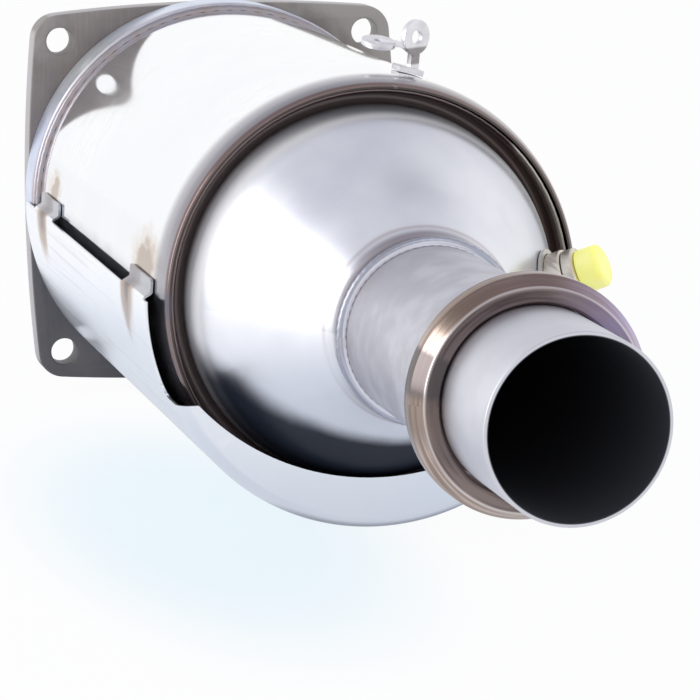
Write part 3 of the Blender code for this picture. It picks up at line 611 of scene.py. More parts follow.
FOOT_RIGHT, FOOT_LEFT = 2.6, 6.5
foot_middle = (FOOT_INSIDE + FOOT_OUTSIDE) / 2
first = math.degrees(BRACKET_TURN) - math.degrees(FOOT_RIGHT / foot_middle)
last = math.degrees(BRACKET_TURN) + math.degrees(FOOT_LEFT / foot_middle)
strip = arc((0, 0), FOOT_OUTSIDE, first, last, 1) + arc((0, 0), FOOT_INSIDE, last, first, 1)
strip_middle = AXIS + OUTLET_WAY * (BRACKET_STATION * MM)
bracket = plate(
    "bracket_bent", strip, strip_middle, Vector((1, 0, 0)), Vector((0, 0, 1)), FOOT_WIDTH
)
leg_plane = (bracket_foot, right_yawed, upward)
meet = math.degrees(math.asin(STEM_HALF / EYE_RADIUS))
eye_outline = [(-STEM_HALF, 0.8), (STEM_HALF, 0.8)]
eye_outline += ring_points(EYE_RADIUS, EYE_CENTRE, -90 + meet, 270 - meet)
eye = plate("eye", eye_outline, *leg_plane, BRACKET_SHEET)
cut_with(eye, plate("eye_hole", ring_points(EYE_HOLE, EYE_CENTRE), *leg_plane, DRILL_DEPTH))
cut_with(bracket, eye, "UNION")
arm_line = [(-0.85 * i, 7.0 + 3.4 * math.sin(math.pi / 16 * i)) for i in range(9)] + [ARM_END]
arm = plate("arm", sheet_line(arm_line, BRACKET_SHEET), bracket_foot, right, upward, 5.0)
cut_with(bracket, arm, "UNION")
tongue_place = bracket_foot + (right * ARM_END[0] + upward * ARM_END[1]) * MM
tongue_back = upward * math.sin(tilt) - OUTLET_WAY * math.cos(tilt)
tongue_plane = (tongue_place, right, tongue_back)
tongue = plate("tongue", ring_points(TONGUE_RADIUS), *tongue_plane, 1.8)
cut_with(tongue, plate("tongue_hole", ring_points(TONGUE_HOLE), *tongue_plane, DRILL_DEPTH))
cut_with(bracket, tongue, "UNION")
apply_modifier(bracket, "BEVEL", width=0.3 * MM, segments=2, limit_method="ANGLE", angle_limit=0.9)
finished(bracket, "satin_steel", "bracket")

# %% [markdown]
# ## Finishes
# Every finish is a small graph of shader nodes. Written with Python's own signs, the maths in it
# stays readable: a Flow wraps one output of a node, and adding or multiplying Flows adds the Math
# nodes that do it. Plain numbers are worked out in Python and never become nodes.

# %% Shader maths
def arithmetic(operation, reflected=False):
    """Makes one of Python's arithmetic signs add a Math node."""

    def work(self, other):
        return self.maths(operation, *((other, self) if reflected else (self, other)))

    return work


class Flow:
    """One output of a node, with Python's arithmetic on it."""

    __add__, __radd__ = arithmetic("ADD"), arithmetic("ADD", True)
    __sub__, __rsub__ = arithmetic("SUBTRACT"), arithmetic("SUBTRACT", True)
    __mul__, __rmul__ = arithmetic("MULTIPLY"), arithmetic("MULTIPLY", True)
    __truediv__, __rtruediv__ = arithmetic("DIVIDE"), arithmetic("DIVIDE", True)
    larger, smaller = arithmetic("MAXIMUM"), arithmetic("MINIMUM")

    def __init__(self, graph, socket):
        self.graph, self.socket = graph, socket

    def __neg__(self):
        return self * -1.0

    def maths(self, operation, *values):
        return self.graph.node("ShaderNodeMath", {"operation": operation}, dict(enumerate(values)))

    def size(self):
        return self.maths("ABSOLUTE", self)

    def root(self):
        return self.maths("SQRT", self)

    def step(self, start, end):
        """0 at start and 1 at end, smooth between them. It falls where end is the lower one."""
        rises = start < end
        low, high, first, last = (start, end, 0.0, 1.0) if rises else (end, start, 1.0, 0.0)
        sockets = {0: self, 1: low, 2: high, 3: first, 4: last}
        return self.graph.node("ShaderNodeMapRange", {"interpolation_type": "SMOOTHSTEP"}, sockets)

    def band(self, middle, reach):
        """1 at the middle, falling smoothly to 0 at this reach to both sides."""
        return (self - middle).size().step(reach, 0.0)


# %% [markdown]
# A Graph adds the nodes themselves. One method makes any node, with its settings first, and the
# colour mixer has a method of its own, because a Math node would turn a colour grey.

# %% Graph of nodes
class Graph:
    """The nodes of one material or world."""

    def __init__(self, owner):
        owner.use_nodes = True
        self.tree = owner.node_tree

    def node(self, kind, settings=None, sockets=None, out=0):
        """Adds a node: its settings first, then the values or links of its sockets."""
        made = self.tree.nodes.new(kind)
        for key, value in (settings or {}).items():
            if key == "stops":
                ramp = made.color_ramp
                while len(ramp.elements) < len(value):
                    ramp.elements.new(0.5)
                for element, (position, colour) in zip(ramp.elements, value):
                    element.position, element.color = position, (*colour, 1.0)
            else:
                setattr(made, key, value)
        for key, value in (sockets or {}).items():
            if isinstance(value, Flow):
                self.tree.links.new(value.socket, made.inputs[key])
            else:
                made.inputs[key].default_value = value
        return None if out is None else Flow(self, made.outputs[out])

    def parts(self, kind, names, sockets=None):
        """Adds a node of several outputs and gives those outputs by name or number."""
        made = self.node(kind, None, sockets).socket.node
        return [Flow(self, made.outputs[name]) for name in names]

    def mix(self, factor, first, second):
        """A colour between two colours."""
        colours = {6: first, 7: second}
        for key, value in colours.items():
            colours[key] = value if isinstance(value, Flow) else (*value, 1.0)
        settings = {"data_type": "RGBA", "clamp_factor": True}
        return self.node("ShaderNodeMix", settings, {0: factor, **colours}, out=2)


# %% [markdown]
# A Finish is one material. It keeps the places that patterns are made from: x, y and z from the
# axis in millimetres, the station, the radius, and the turn round the can in degrees, which is 0
# on the right and 90 on top. Its colour starts as a mix of two, and each tint is laid over it where
# a mask is above 0, as a painter glazes.

# %% Finish
class Finish(Graph):
    """One material, and the fields of place that its patterns are made from."""

    def __init__(self, name, metallic=1.0, **constants):
        self.material = bpy.data.materials.new(name)
        super().__init__(self.material)
        self.shader = self.tree.nodes["Principled BSDF"]
        self.set(metallic=metallic, **constants)
        shift = {0: self.node("ShaderNodeTexCoord", out="Object"), 1: tuple(-v for v in AXIS)}
        local = self.node("ShaderNodeVectorMath", {"operation": "ADD"}, shift)
        grow = {0: local, "Scale": 1 / MM}
        self.place = self.node("ShaderNodeVectorMath", {"operation": "SCALE"}, grow)
        x, y, z = self.parts("ShaderNodeSeparateXYZ", (0, 1, 2), {0: self.place})
        turn = z.maths("ARCTAN2", z, x) * math.degrees(1)
        self.fields = (x, y, z, -y, (x * x + z * z).root(), turn)

    def set(self, **values):
        """Sets or links sockets of the main shader, named as in its panel."""
        for key, value in values.items():
            socket = self.shader.inputs[key.replace("_", " ").title()]
            if isinstance(value, Flow):
                self.tree.links.new(value.socket, socket)
            else:
                socket.default_value = (*value, 1.0) if isinstance(value, tuple) else value

    def noise(self, scale, detail=3.0, place=None, roughness=0.5):
        """Soft noise from 0 to 1, with the scale in bumps to a millimetre."""
        if place is not None:
            place = self.node("ShaderNodeCombineXYZ", None, dict(enumerate(place)))
        sockets = {"Vector": place or self.place, "Scale": scale}
        sockets.update({"Detail": detail, "Roughness": roughness})
        return self.node("ShaderNodeTexNoise", None, sockets)

    def start(self, factor, first, second):
        self.colour = self.mix(factor, first, second)

    def tint(self, factor, colour):
        self.colour = self.mix(factor, self.colour, colour)

    def bump(self, height, distance, strength=1.0):
        """Feeds the normal from a height. The distance is the height's size in millimetres."""
        sockets = {"Height": height, "Distance": distance * MM, "Strength": strength}
        self.set(normal=self.node("ShaderNodeBump", None, sockets))

    def cover(self, factor, colour):
        """Lays a dull painted reflection of one colour over the metal where the factor is 1."""
        skin = self.node("ShaderNodeBsdfDiffuse", None, {"Color": (*colour, 1.0)})
        metal = Flow(self, self.shader.outputs[0])
        both = self.node("ShaderNodeMixShader", None, {0: factor, 1: metal, 2: skin})
        self.tree.links.new(both.socket, self.tree.nodes["Material Output"].inputs[0])

    def on(self, *pieces, roughness):
        """Links the colour and the roughness, and puts the finish on its pieces."""
        self.set(base_color=self.colour, roughness=roughness)
        for piece in pieces:
            piece.data.materials.clear()
            piece.data.materials.append(self.material)
        print(self.material.name, "on", ", ".join(piece.name for piece in pieces))


# %% [markdown]
# ### Polished can
# The can is polished to a mirror, so nearly all that one sees on it is the white studio. What
# makes it a real surface is small: hair scratches round it from the polishing wheel, a cloudy
# unevenness, and brown and straw tints where the feet were spot welded and beside the lip. The
# tints are masks of distance from each foot, with their edges broken up by noise. Towards the lip
# the metal greys and then browns from the heat of the rim weld.

# %% Polished steel
STRAW, BROWN = (0.62, 0.47, 0.30), (0.30, 0.19, 0.13)
SPOT_WELDS = ((45.0, 10.0), (209.0, 16.0))
FOOT_TURNS = (172.0, 8.0)

polished = Finish("polished_steel_mirror", metallic=0.97)
x, y, z, station, radius, turn = polished.fields
rings = polished.noise(1.0, 2.0, (station * 3.0, turn * 0.03, 0.0))
cloud = polished.noise(0.02, 4.0)
hairs = polished.noise(1.0, 4.0, (station * 0.9, turn * 0.06, x * 0.01))
hairline = hairs.band(0.5, 0.012) * cloud.step(0.48, 0.62)
flame = polished.noise(0.09, 3.0, (x * 0.6, station, z * 2.2))
polished.start(cloud.step(0.35, 0.7), (0.92, 0.93, 0.965), (0.97, 0.98, 0.995))
for weld_station, halo in SPOT_WELDS:
    for foot_turn in FOOT_TURNS:
        sideways = (turn - foot_turn) * (math.radians(1) * CAN_RADIUS)
        ahead = (station - weld_station) / 1.7
        away = (sideways * sideways + ahead * ahead).root() + (flame - 0.5) * 12
        polished.tint(away.step(halo, halo * 0.35) * 0.55, STRAW)
        polished.tint(away.step(halo * 0.6, halo * 0.3) * 0.6, BROWN)
near_lip = (station + (cloud - 0.5) * 2).step(221.0, 229.5)
right_lip = turn.band(40.0, 50.0) * near_lip
polished.tint(near_lip * 0.75, (0.33, 0.32, 0.36))
# Painted shade: the upper half of the can just before the lip is darker.
polished.tint(station.step(229.0, 234.0) * z.step(0.0, 40.0) * 0.55, (0.19, 0.17, 0.19))
polished.tint(right_lip * 0.5, (0.27, 0.21, 0.19))
polished.tint(station.step(234.2, 235.6) * (0.75 - right_lip * 0.35), (0.17, 0.10, 0.09))
polished.tint(station.step(22.5, 19.5) * 0.6, (0.42, 0.30, 0.24))

# %% [markdown]
# The inside of the tube is dull and dark. The lip bends inward, so its own drop is added back to
# the radius before inside and outside are told apart.

# %% Inside of the tube, and the painted shade above the shield
past_bend = (station - (LIP - LIP_LENGTH)).larger(0.0)
inside = (radius + past_bend * past_bend / (2 * roll)).step(77.4, 77.0)
shield_side = x.size().step(60.0, 74.0) * station.step(30.0, 60.0)
painted_shade_above_shield = (z + (flame - 0.5) * 4).band(0.0, 9.0) * shield_side
polished.tint(inside, (0.10, 0.09, 0.085))
# Painted shade: a dark band on the can just above the shield's edge, where the gap's shadow is
# mirrored.
polished.tint(painted_shade_above_shield * 0.55, (0.16, 0.17, 0.22))
polished.tint(hairline * 0.5, (0.45, 0.42, 0.42))
polished.bump(rings * 0.4 + cloud * 6.0, 0.004)
dullness = near_lip * 0.12 + inside * 0.4 + hairline * 0.2
polished.on(can, roughness=0.05 + cloud * 0.04 + dullness)

# %% [markdown]
# The collar is the same steel, turned instead of polished, and it took the heat of the weld: blue
# and straw on the outside, browner towards the bead.

# %% Inlet collar
turned_steel = Finish("turned_steel", metallic=0.7)
station, radius, turn = turned_steel.fields[3:]
rings = turned_steel.noise(1.0, 3.0, (station * 5.0, turn * 0.02, radius * 5.0))
patch = turned_steel.noise(0.05, 4.0)
over_top = turn.band(135.0, 22.0) + turn.band(45.0, 22.0)
near_bead = (station + (patch - 0.5) * 3).step(12.0, 16.6)
at_left = turn.size().step(150.0, 176.0)
turned_steel.start(patch.step(0.35, 0.65), (0.60, 0.66, 0.82), (0.76, 0.80, 0.92))
# Painted light: the upper sides of the collar are tinted pale.
turned_steel.tint(over_top * 0.75, (0.86, 0.90, 0.90))
turned_steel.tint(near_bead * (0.45 + at_left * 0.35), (0.42, 0.36, 0.38))
turned_steel.bump(rings + patch * 4.0, 0.006)
turned_steel.on(collar, roughness=0.26 + patch * 0.14 + rings * 0.05)

# %% [markdown]
# ### Spun cone
# The cone has a satin skin. The spinning roller has left fine rings, so its roughness and bump are
# noise that changes quickly along the cone and hardly at all around it. Weld heat has blued the
# neck and left thin brown lines at both ends of the bend there.

# %% Satin steel
satin = Finish("satin_spun_steel")
x, y, z, station, radius, turn = satin.fields
rings = satin.noise(1.0, 4.0, (radius * 2.2, turn * 0.012, station * 0.4))
fine = satin.noise(1.0, 2.0, (radius * 9.0, turn * 0.05, station * 2.0))
smear = satin.noise(0.035, 5.0)
scorched = (station + (smear - 0.5) * 2).band(292.2, 1.3)
around_neck = 0.12 + turn.band(100.0, 80.0) * 0.6 + turn.band(-135.0, 50.0) * 0.35
painted_light_shoulder = radius.step(62.5, 65.0) * station.step(246.0, 240.0)
satin.start(smear.step(0.3, 0.7), (0.76, 0.77, 0.84), (0.86, 0.87, 0.92))
satin.tint(station.step(289.0, 297.0) * 0.6, (0.52, 0.53, 0.58))
satin.tint(scorched * 0.45, (0.40, 0.31, 0.31))
satin.tint(station.step(292.5, 295.0) * around_neck, (0.23, 0.18, 0.21))
# Painted light: a pale, less metallic band on the shoulder beside the groove, standing in for its
# bright reflection.
satin.tint(painted_light_shoulder, (0.93, 0.93, 0.95))
# Painted light: paler and bluer on the lower left of the cone.
satin.tint(turn.band(-160.0, 40.0) * 0.7, (0.94, 0.95, 1.0))

# %% [markdown]
# Down in the groove, and under the cone, the real metal mirrors only its own dark trough and the
# shaded floor. A renderer's light studio is brighter there than the yard in the photograph, so that
# darkness is painted in: the groove is tinted dark as painted shade, and a dull dark painted
# reflection covers the lower part of the cone below a curved edge.

# %% Groove and underside of the cone
over_top = turn.band(88.0, 70.0) * station.step(243.5, 236.0)
deep = station.step(233.5, 228.0) * radius.step(70.5, 69.0)
right_side = station.step(236.0, 232.0) * x.step(25.0, 55.0)
skirt_wall = radius.step(71.0, 71.9) * station.step(227.0, 229.0)
skirt_edge = station.step(232.2, 232.8).larger(x.step(-20.0, 30.0))
painted_pipe_reflection = turn.band(88.0, 22.0) * radius.band(46.0, 9.0)
# Painted shade in the groove: darker on top, deep down and at its bottom.
satin.tint(over_top * 0.85, (0.14, 0.15, 0.17))
satin.tint(deep * 0.8, (0.14, 0.13, 0.14))
satin.tint(station.step(229.5, 227.5), (0.16, 0.125, 0.125))
satin.tint(right_side * 0.6, (0.10, 0.065, 0.055))
satin.tint(skirt_wall * skirt_edge * 0.8, (0.17, 0.105, 0.09))
satin.tint(station.band(299.3, 2.2) * 0.8, (0.26, 0.19, 0.19))
# Painted reflection: the pipe mirrored as a soft grey patch on the cone above the neck.
satin.tint(painted_pipe_reflection * 0.3, (0.42, 0.43, 0.47))
# Painted reflection: the dark trough and shaded floor mirrored low on the cone, laid on as a dull
# dark layer.
painted_underside_reflection = z + 43.5 - x * x * 0.0063 + (smear - 0.5) * 4
painted_underside_reflection = painted_underside_reflection / (1.0 + x * x * 0.0003)
painted_underside_reflection = painted_underside_reflection.step(3.5, -3.5) * station.step(229.0, 238.0)
satin.cover(painted_underside_reflection * 0.95, (0.014, 0.018, 0.029))
satin.set(metallic=1.0 - painted_light_shoulder * 0.7)
satin.bump(rings + fine * 0.3 + smear * 8.0, 0.006)
satin.on(cone, roughness=0.30 + (rings - 0.5) * 0.10 + smear * 0.1)

# %% [markdown]
# The pipe has finer and drier rings than the cone. It is warmer beside the neck weld and lighter
# beyond the joint collar, and its inside is black with soot.

# %% Pipe
tube = Finish("satin_pipe_steel")
station, radius, turn = tube.fields[3:]
rings = tube.noise(1.0, 3.0, (station * 3.5, turn * 0.02, 0.0))
smear = tube.noise(0.07, 4.0)
warm = (station + (smear - 0.5) * 10).step(316.0, 303.0)
soot = radius.step(29.1, 28.7)
tube.start(smear.step(0.35, 0.65), (0.56, 0.555, 0.61), (0.67, 0.67, 0.73))
tube.tint(warm * 0.35, (0.44, 0.40, 0.36))
tube.tint(station.band(305.4, 1.6) * 0.6, (0.25, 0.21, 0.21))
tube.tint(station.step(408.0, 415.0) * 0.7, (0.68, 0.69, 0.74))
tube.tint(soot, (0.028, 0.03, 0.04))
tube.set(metallic=1.0 - soot)
tube.bump(rings + smear * 3.0, 0.008)
bare = 0.42 + (rings - 0.5) * 0.12 + smear * 0.08
tube.on(pipe, roughness=bare * (1.0 - soot) + soot * 0.9)

# %% [markdown]
# ### Heat-tinted collar
# The joint collar was welded on from behind, and the heat ran through it: bronze all over, with
# violet on the upper right where it got hottest. Heat tint is a thin oxide film, so the metal
# stays as shiny as before and only its colour changes.

# %% Tinted steel
tinted = Finish("heat_tinted_steel")
station, radius, turn = tinted.fields[3:]
rings = tinted.noise(1.0, 3.0, (station * 4.0, turn * 0.02, radius * 4.0))
patch = tinted.noise(0.06, 4.0)
smears = tinted.noise(1.0, 4.0, (station * 0.7, turn * 0.022, radius * 0.7))
uneven_turn = turn + (patch - 0.5) * 40
hot = uneven_turn.band(40.0, 45.0)
over_top = (turn + (patch - 0.5) * 30).band(85.0, 60.0)
painted_shade_below_highlight = turn.step(151.5, 155.5) * turn.step(179.0, 173.0)
face = station.step(411.0, 411.7) * radius.step(36.0, 35.3)
face_colour = tinted.mix(smears.step(0.35, 0.65), (0.10, 0.075, 0.075), (0.20, 0.16, 0.16))
face_colour = tinted.mix(hot * 0.6, face_colour, (0.27, 0.23, 0.40))
painted_ridge_highlight = station.band(411.6, 0.7) * radius.band(35.7, 0.8)
tinted.start(smears.step(0.38, 0.62), (0.32, 0.24, 0.20), (0.56, 0.46, 0.41))
tinted.tint(hot * (0.45 + smears.step(0.35, 0.6) * 0.5), (0.40, 0.34, 0.60))
# Darker brown above the lamp's highlight: partly the collar's own tint, partly painted shade that
# makes the highlight start lower.
tinted.tint(uneven_turn.band(125.0, 30.0) * 0.8, (0.23, 0.17, 0.13))
tinted.tint(over_top * (0.6 + smears * 0.4), (0.17, 0.11, 0.115))
tinted.tint(face * 0.92, face_colour)
# Painted shade: darker on the lower left, where the lamp's highlight is cut short.
tinted.tint(turn.size().step(154.0, 170.0) * 0.6, (0.23, 0.175, 0.15))
# Painted shade right below the lamp's highlight, which gives it a sharp lower edge.
tinted.tint(painted_shade_below_highlight * 0.95, (0.13, 0.112, 0.112))
# Painted highlight: a pale line on the ridge between the rim's bevel and the face.
tinted.tint(painted_ridge_highlight * 0.6, (0.80, 0.74, 0.74))
tinted.bump(rings + patch * 4.0, 0.006)
tinted.on(joint, roughness=0.17 + patch * 0.1 + (rings - 0.5) * 0.06)

# %% [markdown]
# ### Weld beads
# A bead is covered in a thin skin of oxide that shows every colour from straw to blue, in bands
# along the ripples. The bands come from noise that is stretched along the bead. One finish serves
# all five beads, and each place gets the colour that its heat has left: blue at the neck, brown at
# the rim, grey at the inlet and pale at the port.

# %% Weld metal
OXIDES = (
    (0.3, (0.30, 0.24, 0.22)),
    (0.45, (0.42, 0.36, 0.36)),
    (0.6, (0.40, 0.42, 0.54)),
    (0.72, (0.55, 0.52, 0.50)),
)
weld = Finish("weld_bead_metal")
x, y, z, station, radius, turn = weld.fields
skin = weld.noise(0.12, 4.0)
neck_line = weld.noise(1.0, 2.0, (station * 0.9, turn * 0.01, radius * 0.9))
neck_colour = weld.mix(neck_line.step(0.4, 0.6), (0.38, 0.40, 0.48), (0.80, 0.82, 0.93))
rim_colour = weld.mix(x.step(20.0, 50.0), (0.24, 0.17, 0.16), (0.11, 0.075, 0.068))
weld.colour = weld.node("ShaderNodeValToRGB", {"stops": OXIDES}, {0: skin})
weld.tint(station.band(303.0, 8.0) * 0.9, neck_colour)
weld.tint(station.band(234.0, 6.0) * 0.9, rim_colour)
weld.tint(station.band(18.5, 6.0) * 0.75, (0.34, 0.31, 0.33))
weld.tint(x.step(50.0, 54.0) * 0.85, (0.66, 0.63, 0.57))
weld.bump(weld.noise(1.6, 3.0), 0.05, 0.6)
weld.on(inlet_bead, rim_bead, neck_bead, collar_bead, fillet, roughness=0.26 + skin * 0.2)

# %% [markdown]
# ### Flange plate
# The flange is hot-rolled plate, brown-grey and mottled. It is painted lighter towards the upper
# right and darker at the lower left corner, as light and shade, the plate round the collar is
# darker with heat tint and painted shade, and its outer sides are lighter.

# %% Flange steel
rolled_plate = Finish("flange_plate_steel", metallic=0.25)
x, y, z, station, radius, turn = rolled_plate.fields
mottle = rolled_plate.noise(0.06, 6.0, roughness=0.6)
grain = rolled_plate.noise(0.9, 4.0, roughness=0.7)
streak = rolled_plate.noise(1.0, 3.0, (x * 0.9, y, z * 0.05))
patchy = (mottle - 0.5) * 40
collar_heat_tint_and_shade = radius.step(93.0, 82.0) * z.step(-20.0, 30.0) * mottle.step(0.3, 0.6)
lighter_plate_side = y.step(0.05, 0.9) * x.size().larger(z.size()).step(74.6, 75.6)
rolled_plate.start(mottle.step(0.3, 0.7), (0.21, 0.185, 0.18), (0.31, 0.285, 0.28))
rolled_plate.tint(streak.step(0.45, 0.7) * 0.25, (0.36, 0.33, 0.30))
# Painted light: lighter towards the upper right.
rolled_plate.tint((x + z * 0.4 + patchy).step(20.0, 80.0) * 0.7, (0.42, 0.40, 0.38))
# Painted shade: darker at the lower left corner.
rolled_plate.tint((x * 0.7 + z + patchy).step(-30.0, -85.0) * 0.8, (0.085, 0.085, 0.092))
# Heat tint and painted shade round the collar.
rolled_plate.tint(collar_heat_tint_and_shade * 0.6, (0.12, 0.095, 0.085))
rolled_plate.tint(lighter_plate_side * 0.8, (0.50, 0.48, 0.50))
rolled_plate.bump(grain * 0.5 + mottle * 2.0, 0.03, 0.7)
rolled_plate.on(flange, roughness=0.42 + (grain - 0.5) * 0.2 + mottle * 0.08)

# %% [markdown]
# ### Heat shield sheet
# Thin bright sheet as it comes from the mill: a smooth skin with long rolling lines, which here
# run along the part and stop at the fold. Its feet and the sheet under them are tinted by the spot
# welds, in three rings that get darker inwards.

# %% Shield sheet
HEAT_RINGS = (
    (1.0, 0.5, 0.6, (0.66, 0.54, 0.44)),
    (0.8, 0.4, 0.85, (0.36, 0.25, 0.20)),
    (0.45, 0.15, 0.8, (0.12, 0.07, 0.055)),
)
sheet = Finish("bright_mill_sheet", metallic=0.85)
x, y, z, station, radius, turn = sheet.fields
along_belly = station.step(247.0, 244.0)
lines = sheet.noise(1.0, 4.0, (turn * 0.852, station * 0.006, 0.0))
lines = lines * along_belly + 0.5 * (1.0 - along_belly)
haze = sheet.noise(0.02, 4.0)
flame = sheet.noise(0.07, 3.0, (x, station * 1.6, z * 0.5))
sheet.start(haze.step(0.3, 0.7), (0.91, 0.94, 1.0), (0.96, 0.98, 1.0))
sheet.tint(lines.step(0.55, 0.7) * 0.4, (0.60, 0.61, 0.68))
for foot_station in (43.0, 199.5):
    ahead, below = (station - foot_station) / 14.0, (z - 1.0) / 24.0
    away = (ahead * ahead + below * below).root() + (flame - 0.5) * 0.6
    for outer_edge, full, share, tint in HEAT_RINGS:
        sheet.tint(away.step(outer_edge, full) * share, tint)
foot_grey = z.step(1.5, 4.0) * haze.step(0.3, 0.6)
fold = station.step(243.0, 248.5)
painted_shade_under_fold = fold * radius.step(79.0, 81.5) * z.step(-68.0, -79.0)
painted_shade_inner_side = radius.step(81.5, 81.25) * station.step(247.5, 246.0)
sheet.tint(foot_grey * 0.5, (0.40, 0.39, 0.42))
sheet.tint(fold * 0.12, (0.50, 0.54, 0.64))
# Painted shade along the bottom of the fold.
sheet.tint(painted_shade_under_fold * 0.7, (0.25, 0.26, 0.31))
# Painted shade on the sheet's inner face, towards the can.
sheet.tint(painted_shade_inner_side * 0.6, (0.25, 0.26, 0.31))
sheet.bump(lines * 0.7 + haze * 20.0, 0.006)
sheet.on(shield, roughness=0.20 + haze * 0.08 + (lines - 0.5) * 0.12)

# %% [markdown]
# ### Small parts
# The boss and its fitting are zinc plated and passivated, which gives a pale yellow-grey. The
# bracket is plain satin steel. The cap is soft yellow plastic. A weak glow of its own stands for
# the light that passes through it.

# %% Plated steel, bracket steel and cap
plated = Finish("passivated_plating", metallic=0.9)
x, y, z = plated.fields[:3]
patch = plated.noise(0.12, 4.0)
smears = plated.noise(1.0, 3.0, (x * 0.5 + z * 0.5, y * 0.15, z * 0.1))
plated.start(patch.step(0.35, 0.65), (0.66, 0.60, 0.50), (0.82, 0.77, 0.69))
plated.tint(smears.step(0.5, 0.62) * 0.55, (0.42, 0.37, 0.30))
plated.bump(plated.noise(1.2, 3.0), 0.01)
plated.on(boss, fitting, roughness=0.28 + patch * 0.15)

bent_steel = Finish("bracket_steel", metallic=0.9)
x, y, z = bent_steel.fields[:3]
patch = bent_steel.noise(0.12, 4.0)
leg = z.band(81.5, 4.5).step(0.1, 0.4) * x.step(12.0, 14.5)
bent_steel.start(patch.step(0.35, 0.65), (0.70, 0.69, 0.73), (0.84, 0.83, 0.87))
# Painted shade: the lower leg, just above the foot, is darker.
bent_steel.tint(leg * 0.75, (0.17, 0.15, 0.15))
bent_steel.bump(bent_steel.noise(1.5, 3.0), 0.012)
bent_steel.on(bracket, roughness=0.30 + patch * 0.14)

plastic = Finish("soft_yellow_plastic", 0.0, subsurface_weight=0.35, subsurface_scale=0.004)
plastic.set(emission_color=(1.0, 0.97, 0.35), emission_strength=0.26)
cloud = plastic.noise(0.2, 3.0)
fleck = plastic.noise(1.4, 2.0)
plastic.start(cloud.step(0.3, 0.7), (0.96, 0.96, 0.22), (0.99, 0.99, 0.36))
plastic.bump(fleck, 0.015)
plastic.on(cap, roughness=0.36 + fleck * 0.1)

# %% [markdown]
# ### Inside the can
# The filter block is sixteen square sticks of silicon carbide, cemented together. Every stick is a
# honeycomb whose cells are plugged in turn, like a chessboard. The open cells are black with soot
# at the inlet and with painted shade down their depth at both ends. The cells are too many to
# model, so a square wave across and one down make them, in colour and in bump, on the flat ends
# only.

# %% Ceramic
CELL = 1.46
WHOLE_CELLS = 1000.0


def wave(value, pitch):
    """0 at the middle of each cell and 1 at its walls."""
    share = value.maths("FRACT", value / pitch + WHOLE_CELLS)
    return (share - 0.5).size() * 2.0


def parity(value, pitch):
    """0 in every other cell and 1 in the cells between them."""
    count = value.maths("FLOOR", value / pitch + WHOLE_CELLS)
    return value.maths("FLOORED_MODULO", count, 2.0)


ceramic = Finish("silicon_carbide_honeycomb", metallic=0.0)
x, y, z, station = ceramic.fields[:4]
cell = 1.0 - wave(x, CELL).larger(wave(z, CELL)).step(0.62, 0.78)
plugged_here = (parity(x, CELL) - parity(z, CELL)).size()
ends = station.step(30.4, 30.1) + station.step(207.4, 207.7)
open_cell = cell * plugged_here * ends
dust = ceramic.noise(0.15, 4.0)
ceramic.start(dust.step(0.3, 0.7), (0.10, 0.10, 0.105), (0.15, 0.15, 0.155))
# Open cells nearly black: soot at the inlet, and painted shade down the deep cells at both ends.
ceramic.tint(open_cell, (0.006, 0.006, 0.007))
ceramic.tint(cell * (1.0 - plugged_here) * ends * 0.5, (0.20, 0.20, 0.20))
ceramic.bump(1.0 - open_cell, 0.8, 0.8)
segments = [nodes[name] for name in sorted(nodes) if name.startswith("filter_segment")]
ceramic.on(*segments, roughness=0.75 + dust * 0.15)

# %% [markdown]
# Three plainer finishes are left: grainy cement, a mat of white fibres that run round the block,
# and the seals' knitted wire, whose loops are two of the same square waves.

# %% Cement, mat and seals
cement = Finish("furnace_cement", metallic=0.0)
grit = cement.noise(0.8, 5.0, roughness=0.7)
cement.start(grit.step(0.3, 0.7), (0.34, 0.33, 0.31), (0.50, 0.49, 0.46))
cement.bump(grit, 0.2, 0.7)
cement.on(nodes["segment_cement"], roughness=0.8 + grit * 0.15)

wool = Finish("ceramic_fibre_mat", metallic=0.0)
station, radius, turn = wool.fields[3:]
fibres = wool.noise(1.0, 5.0, (turn * 2.0, station * 0.4, radius), 0.75)
wool.start(fibres.step(0.3, 0.7), (0.62, 0.60, 0.54), (0.84, 0.82, 0.76))
wool.bump(fibres, 0.5, 0.8)
wool.on(nodes["support_mat"], roughness=0.85 + fibres * 0.1)

mesh_wire = Finish("knitted_wire", metallic=0.9)
station, radius, turn = mesh_wire.fields[3:]
knit = wave(turn, 0.9).smaller(wave(radius + station, 1.1))
mesh_wire.start(knit, (0.16, 0.15, 0.14), (0.55, 0.54, 0.52))
mesh_wire.bump(knit, 0.4, 0.8)
mesh_wire.on(nodes["inlet_seal"], nodes["outlet_seal"], roughness=0.35 + knit * 0.15)

# %% [markdown]
# ## Floor, light and camera
# The object stands on a plain white studio floor in a white room. Polished metal is a picture of
# its surroundings, so the room is made with care. The floor is part white light and part a matt
# surface that the lamp shines on, so the camera sees it as white but it keeps its shadow, and a
# faint bluish painted shade lies on it at the left. Mirrors see it with painted shade: darker under
# the object and bluer close to it.

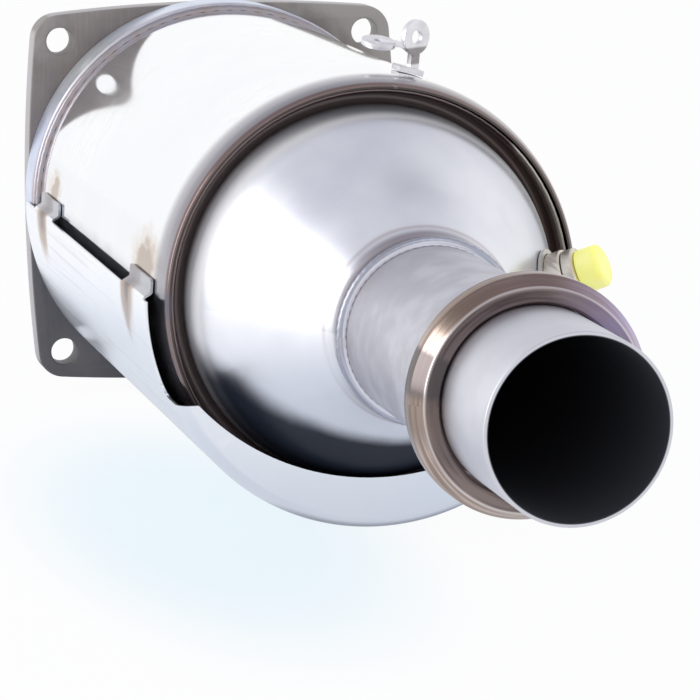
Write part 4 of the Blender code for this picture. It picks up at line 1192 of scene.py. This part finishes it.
# %% Floor
SHADE_HALF_WIDTH, SHADE_FRONT, SHADE_BACK = 0.03, -0.012, 0.225
deselect()
bpy.ops.mesh.primitive_plane_add(size=8.0, location=(0, 0, 0))
floor = bpy.context.object
floor.name = "studio_floor"
paper = bpy.data.materials.new("white_floor")
graph = Graph(paper)
graph.tree.nodes.clear()
place = graph.node("ShaderNodeTexCoord", out="Object")
x, y = graph.parts("ShaderNodeSeparateXYZ", (0, 1), {0: place})
beside = (x.size() - SHADE_HALF_WIDTH).larger(0.0)
beyond = (y - (SHADE_FRONT + SHADE_BACK) / 2).size() - (SHADE_BACK - SHADE_FRONT) / 2
beyond = beyond.larger(0.0)
away = (beside * beside + beyond * beyond).root()
seen, mirrored = graph.parts("ShaderNodeLightPath", ("Is Camera Ray", "Is Glossy Ray"))
tone = graph.mix(mirrored, (0.78, 0.80, 0.84), (0.05, 0.05, 0.06))
matt = graph.node("ShaderNodeBsdfDiffuse", None, {"Color": tone})
across, ahead = (x + 0.06) / 0.085, (y + 0.01) / 0.22
far = (across * across + ahead * ahead).root()
plain = graph.mix(mirrored * away.step(0.30, 0.04), (1.0, 1.0, 1.0), (0.87, 0.915, 1.0))
# Painted shade: a faint bluish patch at the left of the object, seen by the camera.
painted_bluish_shade = graph.mix(seen * far.step(1.0, 0.3), plain, (0.83, 0.925, 0.985))
bright = graph.node("ShaderNodeEmission", None, {"Color": painted_bluish_shade, "Strength": 1.0})
lit = 0.55 + away.step(0.004, 0.02) * 0.22 + away.step(0.02, 0.2) * 0.2
share = seen * 0.95 + mirrored * lit
surface = graph.node("ShaderNodeMixShader", None, {0: share, 1: matt, 2: bright})
graph.node("ShaderNodeOutputMaterial", None, {0: surface}, out=None)
floor.data.materials.append(paper)

# %% [markdown]
# The world is white for the camera. In reflections it is white at eye level, where the can looks,
# and a little greyer and cooler straight above, where the top of the cone looks. Everything matt
# gets an even light from it.

# %% World
scene = bpy.context.scene
scene.view_settings.view_transform = "Standard"
world = bpy.data.worlds.new("studio")
scene.world = world
graph = Graph(world)
graph.tree.nodes.clear()
direction = graph.node("ShaderNodeTexCoord", out="Generated")
(height,) = graph.parts("ShaderNodeSeparateXYZ", (2,), {0: direction})
seen, mirrored = graph.parts("ShaderNodeLightPath", ("Is Camera Ray", "Is Glossy Ray"))
overhead = graph.mix(height.step(0.35, 0.95), (1.0, 1.0, 1.0), (0.66, 0.67, 0.72))
plain = graph.mix(seen, (0.80, 0.80, 0.82), (1.0, 1.0, 1.0))
light = graph.mix(mirrored, plain, overhead)
sky = graph.node("ShaderNodeBackground", None, {"Color": light, "Strength": 1.0})
graph.node("ShaderNodeOutputWorld", None, {0: sky}, out=None)
print("floor and world are lit")

# %% [markdown]
# One large soft lamp stands at the left. It gives the shadows their side and draws the highlight
# on the joint collar. The camera is where the photograph was taken from: its matrix was fitted to
# the measured edges of nine round and flat features.

# %% Lamp and camera
LAMP_PLACE, LAMP_TARGET = Vector((-1.15, 0.02, 0.46)), Vector((0, 0, 0.08))
deselect()
bpy.ops.object.light_add(type="AREA", location=LAMP_PLACE)
lamp = bpy.context.object
lamp.name = "softbox_left"
lamp.data.shape = "RECTANGLE"
lamp.data.size, lamp.data.size_y = 0.7, 0.9
lamp.data.energy = 6.0
lamp.rotation_euler = (LAMP_TARGET - LAMP_PLACE).to_track_quat("-Z", "Y").to_euler()

camera_data = bpy.data.cameras.new("camera")
camera_data.lens = 180
camera_data.sensor_width = 36
camera = bpy.data.objects.new("camera", camera_data)
scene.collection.objects.link(camera)
camera.matrix_world = Matrix((
    (0.9612, 0.0553, -0.2701, -0.3452),
    (-0.2757, 0.1998, -0.9402, -1.18584),
    (0.0019, 0.9783, 0.2073, 0.3210),
    (0, 0, 0, 1),
))
scene.camera = camera
print("lamp and camera are in place")
